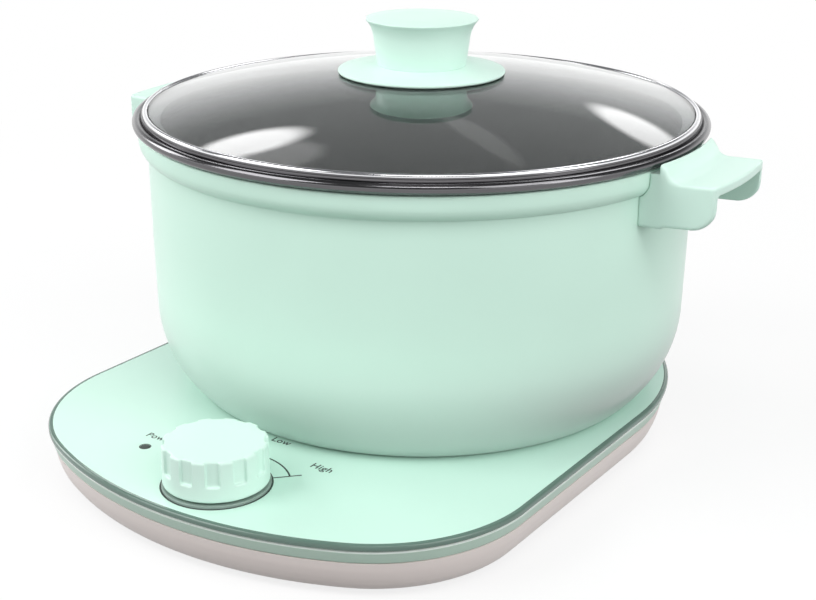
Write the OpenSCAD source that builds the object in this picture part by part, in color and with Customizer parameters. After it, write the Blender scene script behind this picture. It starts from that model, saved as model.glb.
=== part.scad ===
// Electric hot pot: a glass-topped cooking base with a round lift-off pot and a glass lid.
// +Z is up, -Y is the dial side, and the origin is on the table under the middle of the outline.

/* [Base outline] */
// Width of the base
base_w = 252.5; // [210:0.5:304]
// Height of the cooking surface above the table
base_h = 28; // [27:0.5:36]
// Distance from the pot's wall to the front edge
front_margin = 63.5; // [53:0.5:100]
// Distance that the rear half circle's centre lies behind the pot's axis
rear_setback = 6; // [0:1:20]
// Radius of the bowed front edge
bow_r = 189; // [170:1:240]
// Radius of the two front corners
corner_r = 78; // [60:1:90]

/* [Base shells] */
// Height of the feet below the bottom cover
foot_h = 2; // [1.5:0.5:4]
// Radius of a foot
foot_r = 9; // [6:0.5:12]
// Distance of the seam between the two casings below the cooking surface
seam_drop = 9.5; // [8:0.1:11]
// Wall of both casings
casing_t = 2; // [1.6:0.1:2.4]
// Thickness of the glass plate
plate_t = 2.6; // [2:0.1:4]
// Thickness of the seal under the glass plate
plate_seal_t = 0.5; // [0.3:0.1:0.8]
// Width of the ledge that carries the glass plate
ledge_w = 16; // [14:1:20]

/* [Dial] */
// Distance from the base's front edge back to the dial
dial_back = 30.7; // [29:0.1:45]
// Distance of the dial to the right of the middle
dial_x = 4.7; // [-10:0.1:10]
// Radius of the dial knob at its skirt
dial_r = 23.4; // [18:0.1:26]
// Height of the dial knob
dial_h = 18.6; // [14:0.1:24]
// Gap between the glass plate and the knob's skirt
dial_gap = 2.2; // [1.8:0.1:4]
// Number of grip flutes
flute_n = 12; // [8:1:16]
// Radius of the dial shaft
shaft_r = 3; // [2:0.1:4]

/* [Pot] */
// Radius of the pot's wall above the rounded bottom
pot_r = 132.5; // [110:0.5:160]
// Height of the pot's rim above the glass plate
pot_h = 129.3; // [105:0.1:170]
// Growth of the wall's radius from the rounded bottom up to the collar
pot_draft = 0.9; // [0:0.1:3]
// Radius of the big arc between the bottom and the wall
pot_corner_r = 56.5; // [45:0.5:65]
// Radius of the small arc at the edge of the flat bottom
pot_edge_r = 7; // [4:0.5:9]
// Wall of the pot
pot_t = 3; // [2:0.1:4]
// Thickness of the pot's floor
pot_floor_t = 5; // [4:0.1:7]
// Height of the collar round the rim
collar_h = 18; // [14:0.5:24]
// Distance that the collar stands out of the wall
collar_out = 4.3; // [3:0.1:6]
// Distance from the pot's wall in to the steel disc in its underside
disc_margin = 48.5; // [44:0.5:70]
// Turn of the pot on the base, seen from above
pot_turn = 1.8; // [-15:0.1:15]

/* [Handles] */
// Distance that a handle stands out of the collar
handle_out = 29.7; // [24:0.1:50]
// Width of a handle
handle_w = 58.6; // [46:0.1:70]
// Depth of a handle's end skirts, from the pot's rim down
handle_drop = 25; // [20:0.5:32]
// Thickness of a handle's grip plate
grip_t = 4.4; // [3:0.1:6]

/* [Lid] */
// Overhang of the lid's rim ring past the collar
ring_out = 2.6; // [1:0.1:4]
// Height of the rim ring above the pot's rim
ring_h = 8.4; // [7:0.1:12]
// Rise of the glass dome from the ring to its middle
dome_rise = 16.7; // [12:0.1:30]
// Thickness of the lid's glass
glass_t = 4; // [3:0.1:5]
// Radius of the knob's flange
flange_r = 40.75; // [34:0.25:48]
// Widest radius of the knob's top
knob_r = 27.4; // [22:0.1:32]
// Height of the knob's widest edge above its flange
knob_h = 22; // [18:0.1:30]

/* [Fits] */
// Running clearance of a shaft in its bore
run_gap = 0.05; // [0.02:0.01:0.1]
// Clearance between pieces that are fixed together
fix_gap = 0.1; // [0.05:0.05:0.2]
// Clearance between pieces that lift apart
lift_gap = 0.8; // [0.4:0.1:1]

/* [Hidden] */
$fn = 96;

// Colours
mint = "#c8f0de";
mint_light = "#e6fff4";
warm_grey = "#cdc0be";

// Radii of the pot, its steel disc, the lid and the handles
wall_top_r = pot_r + pot_draft;
collar_r = wall_top_r + collar_out;
disc_r = pot_r - disc_margin;
ring_r = collar_r + ring_out;
handle_reach = collar_r + handle_out;

// Places on the base, measured from the pot's axis
front_reach = pot_r + front_margin;
rear_reach = max(ring_r, rear_setback + base_w / 2);
pot_y = (front_reach - rear_reach) / 2;
bow_y = bow_r - front_reach;
corner_x = base_w / 2 - corner_r;
corner_y = bow_y - sqrt(pow(bow_r - corner_r, 2) - pow(corner_x, 2));
corner_angle = asin(corner_x / (bow_r - corner_r));

// Heights in the base
cover_z = foot_h;
floor_top = foot_h + casing_t;
plate_z = base_h - plate_t;
seam_z = base_h - seam_drop;
ledge_z = plate_z - plate_seal_t;
ledge_t = 2;
shell_gap = 0.3;
lip_t = 1.2;
lip_h = 2;
seal_inset = 1.4;
seal_w = 6;
plate_edge = 0.4;
slot_w = 3;
slot_pitch = 6;
exhaust_l = 26;
exhaust_pitch = 7;
exhaust_y = rear_setback + base_w / 2 - 46.25 - exhaust_l;

// Inset of the casing's outer face from the glass plate's edge, against height
side_line = [[cover_z, 12], [cover_z + 0.6, 9.6], [cover_z + 2, 7.6], [cover_z + 4.5, 5.8],
    [cover_z + 8, 4.3], [cover_z + 12, 3.1], [seam_z, 2.3],
    [seam_z + 3, 1.4], [ledge_z - 0.8, 0.7], [ledge_z, 1.2]];

// Screws and their posts
screw_inset = 18;
well_r = 5.2;
well_h = 6;
well_seat = 3;
boss_r = 4;
pilot_h = 9;
screw_r = 1.25;
screw_gap = 0.4;
screw_head_r = 2.8;
screw_head_h = 1.5;
head_gap = 0.6;
post_r = 3.2;
peg_r = foot_r / 2;
peg_h = 1;

// Cooking coil: it stays under the pot's steel disc and inside the casing's screws
coil_side_gap = 44;
coil_r = min(disc_r - 2, base_w / 2 - coil_side_gap);
coil_in_r = 24;
coil_t = 4;
coil_gap = 1.9;
former_r = coil_r + 4;
former_t = 2;
former_z = plate_z - coil_gap - coil_t - former_t;
ear_d = former_r + 4;
ear_r = 6;
bar_n = 6;
bar = [coil_r - coil_in_r - 12, 12, 3.5];
sensor_r = 9;
sensor_drop = 3;
sensor_flange_r = 13;
sensor_flange_t = 1.2;
pad_r = 7;
pad_t = 2;

// Boards and what stands on them, from the dial's place back
dial_y = dial_back - front_reach;
board_t = 1.6;
board_hole_r = screw_r + 0.3;
control_x = [-56, 40];
control_y = [-11, 15];
control_z = plate_z - 11.4;
board_gap = 2.3;
board_front = dial_y + control_y[1] + board_gap;
board_y = [board_front, board_front + 54];
board_x = [-floor(half_width(board_front, 15)), 22];
board_z = floor_top + 4;
post_in = 6;
control_post_in = 5;
sink = [48, 34, 3];
sink_at = [board_x[0] + 6, board_y[0] + 10];
fin_n = 8;
fin_h = 8;
fin_t = 1.4;
cap_size = [19, 9, 12];
cap_at = [board_x[1] - 44, board_y[0] + 18];
cap_pitch = 16;

// Fan
fan_w = 50;
fan_at = [board_x[1] + 9 + fan_w / 2, board_y[0] + 32];
fan_t = 10;
fan_z = floor_top + 3;
fan_hole_r = 23;
fan_rotor_r = 22;
fan_hub_r = 11;
fan_screw_d = 21;
blade_n = 7;
blade_t = 1;
blade_w = 8.8;
blade_pitch = 40;
spindle_r = 1;
hub_plate_r = 10;
hub_plate_t = 1;
spoke_w = 2.4;
bearing_r = 2.5;
bearing_h = 6;

// Dial train
switch_r = 8.5;
switch_h = 6;
switch_base_t = 1;
bush_r = shaft_r + 1.2;
bush_hole_r = bush_r + shell_gap;
bush_top = base_h + 1;
flute_w = 5.6;
flute_d = 1.2;
flute_ledge = 7.3;
flute_phase = 8;
dial_top_r = dial_r - 0.25;
dial_wall = 2.2;
dial_ring_h = 1.3;
dial_ring_in_r = 12;
led_r = 2;
lens_flange_t = 1.4;
indicator_at = [-50.9, 8.9];
indicator_r = 2.3;

// Cord gland at the back
gland_z = floor_top + 7;
gland_r = 5.4;
gland_bore_r = 3.5;
gland_flange_r = 6.4;
gland_flange_t = 2;
block = [26, 12, 11];
block_screw_gap = 11.8;
block_at = [floor(rear_point(62, screw_inset)[0] - block_screw_gap - block[0]), -25];
wire_hole_r = 2.2;
gland_in = rear_setback + base_w / 2 - 10.6;
gland_out = rear_setback + base_w / 2 - 1;

// Heights of the pot and the lid above the table
rim_z = base_h + pot_h;
collar_z = rim_z - collar_h;
corner_z = base_h + 2.05 + pot_corner_r * sin(45);
edge_end_r = pot_r - pot_corner_r * (1 - cos(45));
mouth_r = pot_r - pot_t + pot_draft;
ring_z = rim_z + 0.3;
ring_top = ring_z + ring_h;
plug_h = 5.3;

// Lid glass: a spherical cap
glass_r = ring_r - 7.3;
bead_r = 2.3;
glass_bead_r = 1.3;
dome_top = ring_top - 0.7 + dome_rise;
dome_r = (pow(glass_r, 2) + pow(dome_rise, 2)) / (2 * dome_rise);
gasket_t = 0.5;
gasket_r = 17;
flange_t = 1.3;
stem_r = knob_r - 5.8;
knob_z = dome_top + 2.7;
knob_hole_r = 3;
insert_r = 4;
insert_h = 11.8;
knob_screw_r = 2.5;
knob_screw_in = 8;
washer_r = 9;
washer_t = 1;
washer_z = dome_top - glass_t - washer_t - 0.2;

// Handles
handle_half = handle_w / 2;
grip_z = rim_z - 4.3;
grip_rise = 1.7;
skirt_t = 3.2;
skirt_round = 12;
back_x = collar_r + 3.4;
upstand_h = 3.9;
upstand_t = 3.4;
upstand_fillet = 5;
pocket_r = ring_r + 1.8;
upstand_r = pocket_r + upstand_t;
handle_screw_y = 12;
handle_screw_z = rim_z - 17;
handle_boss_r = 5;
handle_boss_end = collar_r - 1.2;
handle_screw_r = 1.9;
handle_screw_head_r = 3.4;
handle_screw_head_h = 1.8;
handle_screw_l = 7;
disc_t = 1.5;

// Points on an arc about [cx, cz], from angle a to angle b
function arc(cx, cz, r, a, b, n) =
    [for (i = [0:n]) let (t = a + (b - a) * i / n) [cx + r * cos(t), cz + r * sin(t)]];

// Inset of the casing's outer face at height z
function side_inset(z) = lookup(z, side_line);

// Side line between two heights, moved in by extra
function side_part(z0, z1, extra) = concat(
    [[side_inset(z0) + extra, z0]],
    [for (p = side_line) if (p[0] > z0 && p[0] < z1) [p[1] + extra, p[0]]],
    [[side_inset(z1) + extra, z1]]);

// Moves its children from the pot's axis into the object's frame
module at_pot(x = 0, y = 0, z = 0) {
    translate([x, pot_y + y, z]) children();
}

// Moves its children from the pot's own axes, which turn with it, into the object's frame
module on_pot() {
    at_pot() rotate([0, 0, pot_turn]) children();
}

// The base's outline moved in by inset, anticlockwise from the left end of the bowed front
bow_steps = 12;
corner_steps = 12;
rear_steps = 36;
function outline(inset) = concat(
    [for (i = [0:bow_steps - 1]) bow_point(corner_angle * (2 * i / bow_steps - 1), inset)],
    [for (i = [0:corner_steps]) let (t = (90 - corner_angle) * (i / corner_steps - 1))
        [corner_x + (corner_r - inset) * cos(t), corner_y + (corner_r - inset) * sin(t)]],
    [for (i = [0:rear_steps]) rear_point(180 * i / rear_steps, inset)],
    [for (i = [0:corner_steps - 1]) let (t = 180 + (90 - corner_angle) * i / corner_steps)
        [-corner_x + (corner_r - inset) * cos(t), corner_y + (corner_r - inset) * sin(t)]]);

// A solid on the base's outline, with its side given by [inset, z] pairs from the bottom up
module outline_body(profile) {
    n = len(outline(0));
    last = len(profile) - 1;
    polyhedron(
        points = [for (p = profile) for (q = outline(p[0])) [q[0], q[1], p[1]]],
        faces = concat(
            [[for (i = [0:n - 1]) i]],
            [[for (i = [n - 1:-1:0]) last * n + i]],
            [for (k = [0:last - 1]) for (i = [0:n - 1]) let (j = (i + 1) % n)
                [k * n + i, (k + 1) * n + i, (k + 1) * n + j, k * n + j]]));
}

// A straight-sided ring on the base's outline, between two insets
module outline_ring(inset0, inset1, z0, z1) {
    translate([0, 0, z0])
        linear_extrude(z1 - z0)
            difference() {
                polygon(outline(inset0));
                polygon(outline(inset1));
            }
}

// Places that follow the base's outline, at one inset
function rear_point(angle, inset) =
    [(base_w / 2 - inset) * cos(angle), rear_setback + (base_w / 2 - inset) * sin(angle)];
function bow_point(angle, inset) = [(bow_r - inset) * sin(angle), bow_y - (bow_r - inset) * cos(angle)];
function corner_point(side, inset) =
    [side * (corner_x + (corner_r - inset) * cos(45)), corner_y - (corner_r - inset) * sin(45)];

// Half width of the outline beside a front corner, at y and at one inset
function half_width(y, inset) = corner_x + sqrt(pow(corner_r - inset, 2) - pow(corner_y - y, 2));

cover_screw_places = [rear_point(62, screw_inset), rear_point(118, screw_inset),
    [base_w / 2 - screw_inset, corner_y + 38], [screw_inset - base_w / 2, corner_y + 38],
    bow_point(24, screw_inset), bow_point(-24, screw_inset)];
foot_places = [rear_point(45, 32), rear_point(135, 32), corner_point(1, 32), corner_point(-1, 32)];
coil_ear_places = [for (a = [45:90:315]) [ear_d * cos(a), ear_d * sin(a)]];
board_post_places = [for (x = [board_x[0] + post_in, board_x[1] - post_in],
    y = [board_y[0] + post_in, board_y[1] - post_in]) [x, y]];
fan_post_places = [for (x = [-1, 1], y = [-1, 1])
    [fan_at[0] + x * fan_screw_d, fan_at[1] + y * fan_screw_d]];
control_post_places = [[control_x[0] + control_post_in, dial_y + control_y[0] + control_post_in],
    [control_x[1] - control_post_in, dial_y + control_y[0] + control_post_in],
    [control_x[1] - control_post_in, dial_y + control_y[1] - control_post_in]];

// A screw with its head's seat at z = 0: the head stands up and the shank goes down
module screw(head_r, head_h, shank_r, length) {
    difference() {
        union() {
            cylinder(r = head_r, h = head_h);
            translate([0, 0, -length]) cylinder(r = shank_r, h = length + 0.01);
        }
        for (turn = [0, 90])
            rotate([0, 0, turn])
                translate([-head_r * 0.6, -0.35, head_h - 0.8]) cube([head_r * 1.2, 0.7, 1]);
    }
}

// A post with a blind hole from its top
module post(place, z0, z1) {
    at_pot(place[0], place[1], 0)
        difference() {
            translate([0, 0, z0]) cylinder(r = post_r, h = z1 - z0);
            translate([0, 0, z1 - 8]) cylinder(r = screw_r + run_gap, h = 9);
        }
}

// ---- Base -------------------------------------------------------------------------------------

module bottom_cover() color(warm_grey) {
    difference() {
        union() {
            difference() {
                at_pot() outline_body(side_part(cover_z, seam_z, 0));
                at_pot() outline_body(concat(side_part(floor_top, seam_z, casing_t),
                    [[side_inset(seam_z) + casing_t, seam_z + 1]]));
            }
            for (p = cover_screw_places)
                at_pot(p[0], p[1], cover_z) cylinder(r = well_r, h = well_h);
        }
        for (p = cover_screw_places)
            at_pot(p[0], p[1], 0) {
                translate([0, 0, cover_z - 1]) cylinder(r = screw_head_r + head_gap, h = well_seat + 1);
                cylinder(r = screw_r + screw_gap, h = cover_z + well_h + 1);
            }
        for (p = foot_places)
            at_pot(p[0], p[1], cover_z - 1) cylinder(r = peg_r + fix_gap, h = peg_h + 1);
        intake_slots();
        exhaust_slots();
        at_pot(0, 0, gland_z)
            rotate([-90, 0, 0])
                cylinder(r = gland_r + run_gap, h = front_reach);
    }
    for (p = coil_ear_places) post(p, floor_top, former_z);
    for (p = board_post_places) post_short(p, board_z);
    for (p = fan_post_places) post_short(p, fan_z);
    for (p = control_post_places) post(p, floor_top, control_z);
}

// A low post, whose blind hole goes to the floor
module post_short(place, z1) {
    at_pot(place[0], place[1], 0)
        difference() {
            translate([0, 0, floor_top]) cylinder(r = post_r, h = z1 - floor_top);
            translate([0, 0, floor_top + 0.2]) cylinder(r = screw_r + run_gap, h = z1);
        }
}

// Air comes in under the fan and leaves at the back
module intake_slots() {
    for (i = [-3:3])
        at_pot(fan_at[0] + i * slot_pitch - slot_w / 2, fan_at[1] - slot_half(i), cover_z - 1)
            cube([slot_w, 2 * slot_half(i), casing_t + 2]);
}

// Half length of an intake slot, which keeps inside the fan's circle
function slot_half(i) = sqrt(pow(fan_hole_r, 2) - pow(i * slot_pitch, 2)) - slot_w;

module exhaust_slots() {
    for (i = [-6:6])
        at_pot(i * exhaust_pitch - slot_w / 2, exhaust_y, cover_z - 1)
            cube([slot_w, exhaust_l, casing_t + 2]);
}

module rubber_feet() color("#5d5f60") {
    for (p = foot_places)
        at_pot(p[0], p[1], 0) {
            rotate_extrude()
                polygon([[0, 0], [foot_r - 0.8, 0], [foot_r, 0.8], [foot_r, foot_h], [0, foot_h]]);
            cylinder(r = peg_r, h = foot_h + peg_h);
        }
}

module cover_screws() color("silver") {
    for (p = cover_screw_places)
        at_pot(p[0], p[1], cover_z + well_seat)
            mirror([0, 0, 1])
                screw(screw_head_r, screw_head_h, screw_r, 12);
}

module upper_casing() color(mint) {
    seam = seam_z + shell_gap;
    difference() {
        at_pot() outline_body(side_part(seam, ledge_z, 0));
        at_pot() outline_body(concat([[side_inset(seam) + casing_t, seam - 1]],
            side_part(seam, ledge_z - ledge_t, casing_t)));
        at_pot(0, 0, ledge_z - ledge_t - 1)
            linear_extrude(ledge_t + 2)
                polygon(outline(ledge_w));
    }
    casing_lip(seam);
    for (p = cover_screw_places)
        at_pot(p[0], p[1], 0)
            difference() {
                translate([0, 0, cover_z + well_h])
                    cylinder(r = boss_r, h = ledge_z - cover_z - well_h);
                translate([0, 0, cover_z + well_h - 1]) cylinder(r = screw_r + run_gap, h = pilot_h + 1);
            }
}

// The lip that reaches down inside the bottom cover, to line the two shells up
module casing_lip(seam) {
    lip_out = side_inset(seam_z - lip_h) + casing_t + shell_gap;
    at_pot() outline_ring(lip_out, lip_out + lip_t, seam_z - lip_h, seam + lip_t);
    at_pot() outline_ring(side_inset(seam) + 1, lip_out + lip_t, seam, seam + lip_t);
}

module plate_seal() color("#dfe6e2") {
    at_pot() outline_ring(seal_inset, seal_inset + seal_w, ledge_z, plate_z);
}

module glass_plate() color("#c9f4e1") {
    difference() {
        at_pot() outline_body([[plate_edge, plate_z], [0, plate_z + plate_edge],
            [0, base_h - plate_edge], [plate_edge, base_h]]);
        at_pot(dial_x, dial_y, plate_z - 1) cylinder(r = bush_hole_r, h = plate_t + 2);
        at_pot(dial_x + indicator_at[0], dial_y + indicator_at[1], plate_z - 1)
            cylinder(r = indicator_r + run_gap, h = plate_t + 2);
    }
}

module coil_former() color("#e9e4d8") {
    difference() {
        union() {
            at_pot(0, 0, former_z) cylinder(r = former_r, h = former_t);
            for (p = coil_ear_places) at_pot(p[0], p[1], former_z) cylinder(r = ear_r, h = former_t);
        }
        for (p = coil_ear_places)
            at_pot(p[0], p[1], former_z - 1) cylinder(r = screw_r + screw_gap, h = former_t + 2);
        at_pot(0, 0, former_z - 1) cylinder(r = sensor_r + fix_gap, h = former_t + 2);
    }
}

module induction_coil() color("#b06a3a") {
    at_pot(0, 0, former_z + former_t)
        difference() {
            cylinder(r = coil_r, h = coil_t);
            translate([0, 0, -1]) cylinder(r = coil_in_r, h = coil_t + 2);
        }
}

module ferrite_bars() color("#3b3b3d") {
    for (i = [0:bar_n - 1])
        at_pot(0, 0, former_z - bar[2])
            rotate([0, 0, i * 360 / bar_n])
                translate([coil_in_r + 4, -bar[1] / 2, 0]) cube(bar);
}

module coil_screws() color("silver") {
    for (p = coil_ear_places)
        at_pot(p[0], p[1], former_z + former_t)
            screw(screw_head_r, screw_head_h, screw_r, 9);
}

module sensor_holder() color("#f0f0ea") {
    at_pot(0, 0, 0) {
        translate([0, 0, former_z - sensor_drop]) cylinder(r = sensor_r, h = former_t + sensor_drop);
        translate([0, 0, former_z + former_t]) cylinder(r = sensor_flange_r, h = sensor_flange_t);
        translate([0, 0, former_z + former_t]) cylinder(r = pad_r, h = plate_z - pad_t - former_z - former_t);
    }
}

module sensor_pad() color("#9fb4c8") {
    at_pot(0, 0, plate_z - pad_t) cylinder(r = pad_r - 0.5, h = pad_t);
}

module main_board() color("#2f7a4c") {
    difference() {
        at_pot(board_x[0], board_y[0], board_z)
            cube([board_x[1] - board_x[0], board_y[1] - board_y[0], board_t]);
        for (p = board_post_places)
            at_pot(p[0], p[1], board_z - 1) cylinder(r = board_hole_r, h = board_t + 2);
    }
}

module board_screws() color("silver") {
    for (p = board_post_places)
        at_pot(p[0], p[1], board_z + board_t) screw(screw_head_r, screw_head_h, screw_r, 5);
}

module heat_sink() color("#a9adb0") {
    pitch = (sink[0] - fin_t) / (fin_n - 1);
    at_pot(sink_at[0], sink_at[1], board_z + board_t) {
        cube(sink);
        for (i = [0:fin_n - 1])
            translate([i * pitch, 0, sink[2]]) cube([fin_t, sink[1], fin_h]);
    }
}

module filter_capacitors() color("#d9b23c") {
    for (row = [0, 1])
        at_pot(cap_at[0], cap_at[1] + row * cap_pitch, board_z + board_t) cube(cap_size);
}

module fan_frame() color("#2c2d30") {
    difference() {
        at_pot(fan_at[0] - fan_w / 2, fan_at[1] - fan_w / 2, fan_z) cube([fan_w, fan_w, fan_t]);
        at_pot(fan_at[0], fan_at[1], fan_z - 1) cylinder(r = fan_hole_r, h = fan_t + 2);
        for (p = fan_post_places)
            at_pot(p[0], p[1], fan_z - 1) cylinder(r = board_hole_r, h = fan_t + 2);
    }
    at_pot(fan_at[0], fan_at[1], fan_z)
        difference() {
            union() {
                cylinder(r = hub_plate_r, h = hub_plate_t);
                for (turn = [30:120:270])
                    rotate([0, 0, turn])
                        translate([hub_plate_r - 2, -spoke_w / 2, 0])
                            cube([fan_hole_r - hub_plate_r + 2.5, spoke_w, hub_plate_t]);
                cylinder(r = bearing_r, h = bearing_h);
            }
            translate([0, 0, hub_plate_t]) cylinder(r = spindle_r + run_gap, h = bearing_h);
        }
}

module fan_screws() color("silver") {
    for (p = fan_post_places)
        at_pot(p[0], p[1], fan_z + fan_t) screw(screw_head_r, screw_head_h, screw_r, fan_t + 2.5);
}

module fan_rotor() color("#4a4c50") {
    at_pot(fan_at[0], fan_at[1], fan_z) {
        difference() {
            translate([0, 0, 1.5]) cylinder(r = fan_hub_r, h = fan_t - 2.1);
            translate([0, 0, 1]) cylinder(r = fan_hub_r - 1.5, h = fan_t - 3);
        }
        translate([0, 0, 1.4]) cylinder(r = spindle_r, h = fan_t - 3);
        for (i = [0:blade_n - 1])
            rotate([0, 0, i * 360 / blade_n])
                translate([fan_hub_r - 0.5, 0, fan_t / 2 + 0.45])
                    rotate([blade_pitch, 0, 0])
                        translate([0, -blade_t / 2, -blade_w / 2])
                            cube([fan_rotor_r - fan_hub_r - 0.3, blade_t, blade_w]);
    }
}

module control_board() color("#2f7a4c") {
    difference() {
        at_pot(control_x[0], dial_y + control_y[0], control_z)
            cube([control_x[1] - control_x[0], control_y[1] - control_y[0], board_t]);
        for (p = control_post_places)
            at_pot(p[0], p[1], control_z - 1) cylinder(r = board_hole_r, h = board_t + 2);
    }
}

module control_screws() color("silver") {
    for (p = control_post_places)
        at_pot(p[0], p[1], control_z + board_t) screw(screw_head_r, screw_head_h, screw_r, 7);
}

module dial_potentiometer() color("#6d7378") {
    seat = control_z + board_t;
    at_pot(dial_x, dial_y, seat)
        difference() {
            union() {
                cylinder(r = switch_r, h = switch_h);
                cylinder(r = bush_r, h = bush_top - seat);
            }
            translate([0, 0, switch_base_t]) cylinder(r = shaft_r + run_gap, h = base_h);
        }
}

module dial_ring() color("#9aa7a2") {
    at_pot(dial_x, dial_y, base_h)
        rotate_extrude()
            polygon([[dial_ring_in_r, 0], [dial_r + 0.5, 0], [dial_r + 0.5, dial_ring_h - 0.4],
                [dial_r + 0.1, dial_ring_h], [dial_ring_in_r, dial_ring_h]]);
}

// The shaft's flat turns the knob with it
module shaft_section(gap) {
    difference() {
        circle(r = shaft_r + gap);
        translate([shaft_r * 0.6 + gap, -2 * shaft_r]) square(4 * shaft_r);
    }
}

module dial_shaft() color("silver") {
    at_pot(dial_x, dial_y, 0) {
        translate([0, 0, control_z + board_t + switch_base_t + 0.2])
            cylinder(r = shaft_r, h = bush_top - switch_base_t + 0.8 - control_z - board_t);
        translate([0, 0, bush_top + 1])
            linear_extrude(base_h + dial_gap + dial_h - 4 - bush_top - 1) shaft_section(0);
    }
}

module dial_knob() color(mint_light) {
    top = dial_gap + dial_h;
    at_pot(dial_x, dial_y, base_h)
        difference() {
            rotate_extrude()
                polygon(concat(
                    [[0, dial_gap + dial_wall], [0, dial_gap]],
                    [[dial_r - 0.4, dial_gap], [dial_r, dial_gap + 0.4]],
                    arc(dial_top_r - 1, top - 1, 1, 0, 90, 4),
                    [[0, top + 0.4]]));
            difference() {
                translate([0, 0, dial_gap - 1])
                    cylinder(r = dial_r - dial_wall - flute_d, h = dial_h - dial_wall);
                cylinder(r = 2 * shaft_r, h = 2 * top);
            }
            translate([0, 0, -1]) linear_extrude(top - 2.8) shaft_section(fix_gap);
            translate([0, 0, -1]) cylinder(r = bush_r + 1, h = bush_top - base_h + 2.6);
            for (i = [0:flute_n - 1])
                rotate([0, 0, flute_phase + i * 360 / flute_n])
                    translate([dial_r - flute_d, -flute_w / 2, dial_gap + flute_ledge])
                        cube([2 * flute_d, flute_w, dial_h]);
        }
}

module indicator_led() color("#e9e9e4") {
    at_pot(dial_x + indicator_at[0], dial_y + indicator_at[1], control_z + board_t)
        cylinder(r = led_r, h = plate_z - lens_flange_t - 0.6 - control_z - board_t);
}

module indicator_lens() color("#6c7672") {
    at_pot(dial_x + indicator_at[0], dial_y + indicator_at[1], 0) {
        translate([0, 0, plate_z - lens_flange_t]) cylinder(r = indicator_r + 1, h = lens_flange_t);
        translate([0, 0, plate_z - lens_flange_t]) cylinder(r = indicator_r, h = plate_t + lens_flange_t);
    }
}

module terminal_block() color("#e8e4d2") {
    difference() {
        at_pot(block_at[0], gland_in + block_at[1], floor_top) cube(block);
        for (i = [1, 3])
            at_pot(block_at[0] + block[0] * i / 4, gland_in + block_at[1] + block[1] / 2, floor_top + 5)
                cylinder(r = wire_hole_r, h = block[2]);
    }
}

module cord_gland() color("#3a3c3e") {
    at_pot(0, 0, gland_z)
        rotate([-90, 0, 0])
            difference() {
                translate([0, 0, gland_in - gland_flange_t]) {
                    cylinder(r = gland_flange_r, h = gland_flange_t);
                    cylinder(r = gland_r, h = gland_out - gland_in + gland_flange_t);
                }
                translate([0, 0, gland_in - 2 * gland_flange_t])
                    cylinder(r = gland_bore_r, h = gland_out - gland_in + 4 * gland_flange_t);
            }
}

// ---- Pot --------------------------------------------------------------------------------------

// Outer side of the pot, from the edge of its flat bottom up to the rim, grown by gap
function pot_outside(gap) = concat(
    arc(edge_end_r - pot_edge_r * cos(45), base_h + pot_edge_r, pot_edge_r + gap, -90, -45, 3),
    arc(pot_r - pot_corner_r, corner_z, pot_corner_r + gap, -40, 0, 9),
    [[wall_top_r + gap, collar_z], [wall_top_r + 0.5 + gap, collar_z + 2.4],
     [wall_top_r + 1.9 + gap, collar_z + 5.4], [collar_r - 0.8 + gap, collar_z + 8.2],
     [collar_r - 0.1 + gap, collar_z + 11], [collar_r + gap, rim_z - 1]]);

module pot_body() color(mint) {
    floor_z = base_h + pot_floor_t;
    in_r = pot_corner_r - pot_t;
    floor_angle = asin((corner_z - floor_z) / in_r);
    difference() {
        union() {
            at_pot()
                rotate_extrude($fn = 160)
                    polygon(concat(
                        [[0, base_h]],
                        pot_outside(0),
                        [[collar_r - 1, rim_z], [mouth_r + 1.2, rim_z], [mouth_r + 0.2, rim_z - 1]],
                        [[mouth_r, collar_z - 3]],
                        arc(pot_r - pot_corner_r, corner_z, in_r, 0, -floor_angle, 10),
                        [[0, floor_z]]));
            on_pot() handle_bosses(handle_boss_r, handle_boss_end);
        }
        at_pot(0, 0, base_h - 1) cylinder(r = disc_r + fix_gap, h = disc_t + 1);
        on_pot()
            for (side = [-1, 1], y = [-1, 1])
                translate([side * (pot_r + 1.2), y * handle_screw_y, handle_screw_z])
                    rotate([0, side * 90, 0]) cylinder(r = handle_screw_r + run_gap, h = 20);
    }
}

// Round bosses on the pot's wall, two behind each handle, out to x = reach
module handle_bosses(r, reach) {
    for (side = [-1, 1], y = [-1, 1])
        translate([side * (pot_r - 1.5), y * handle_screw_y, handle_screw_z])
            rotate([0, side * 90, 0]) cylinder(r = r, h = reach - pot_r + 1.5);
}

module pot_base_disc() color("#8d8f91") {
    at_pot(0, 0, base_h + fix_gap) cylinder(r = disc_r, h = disc_t - fix_gap);
}

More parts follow.
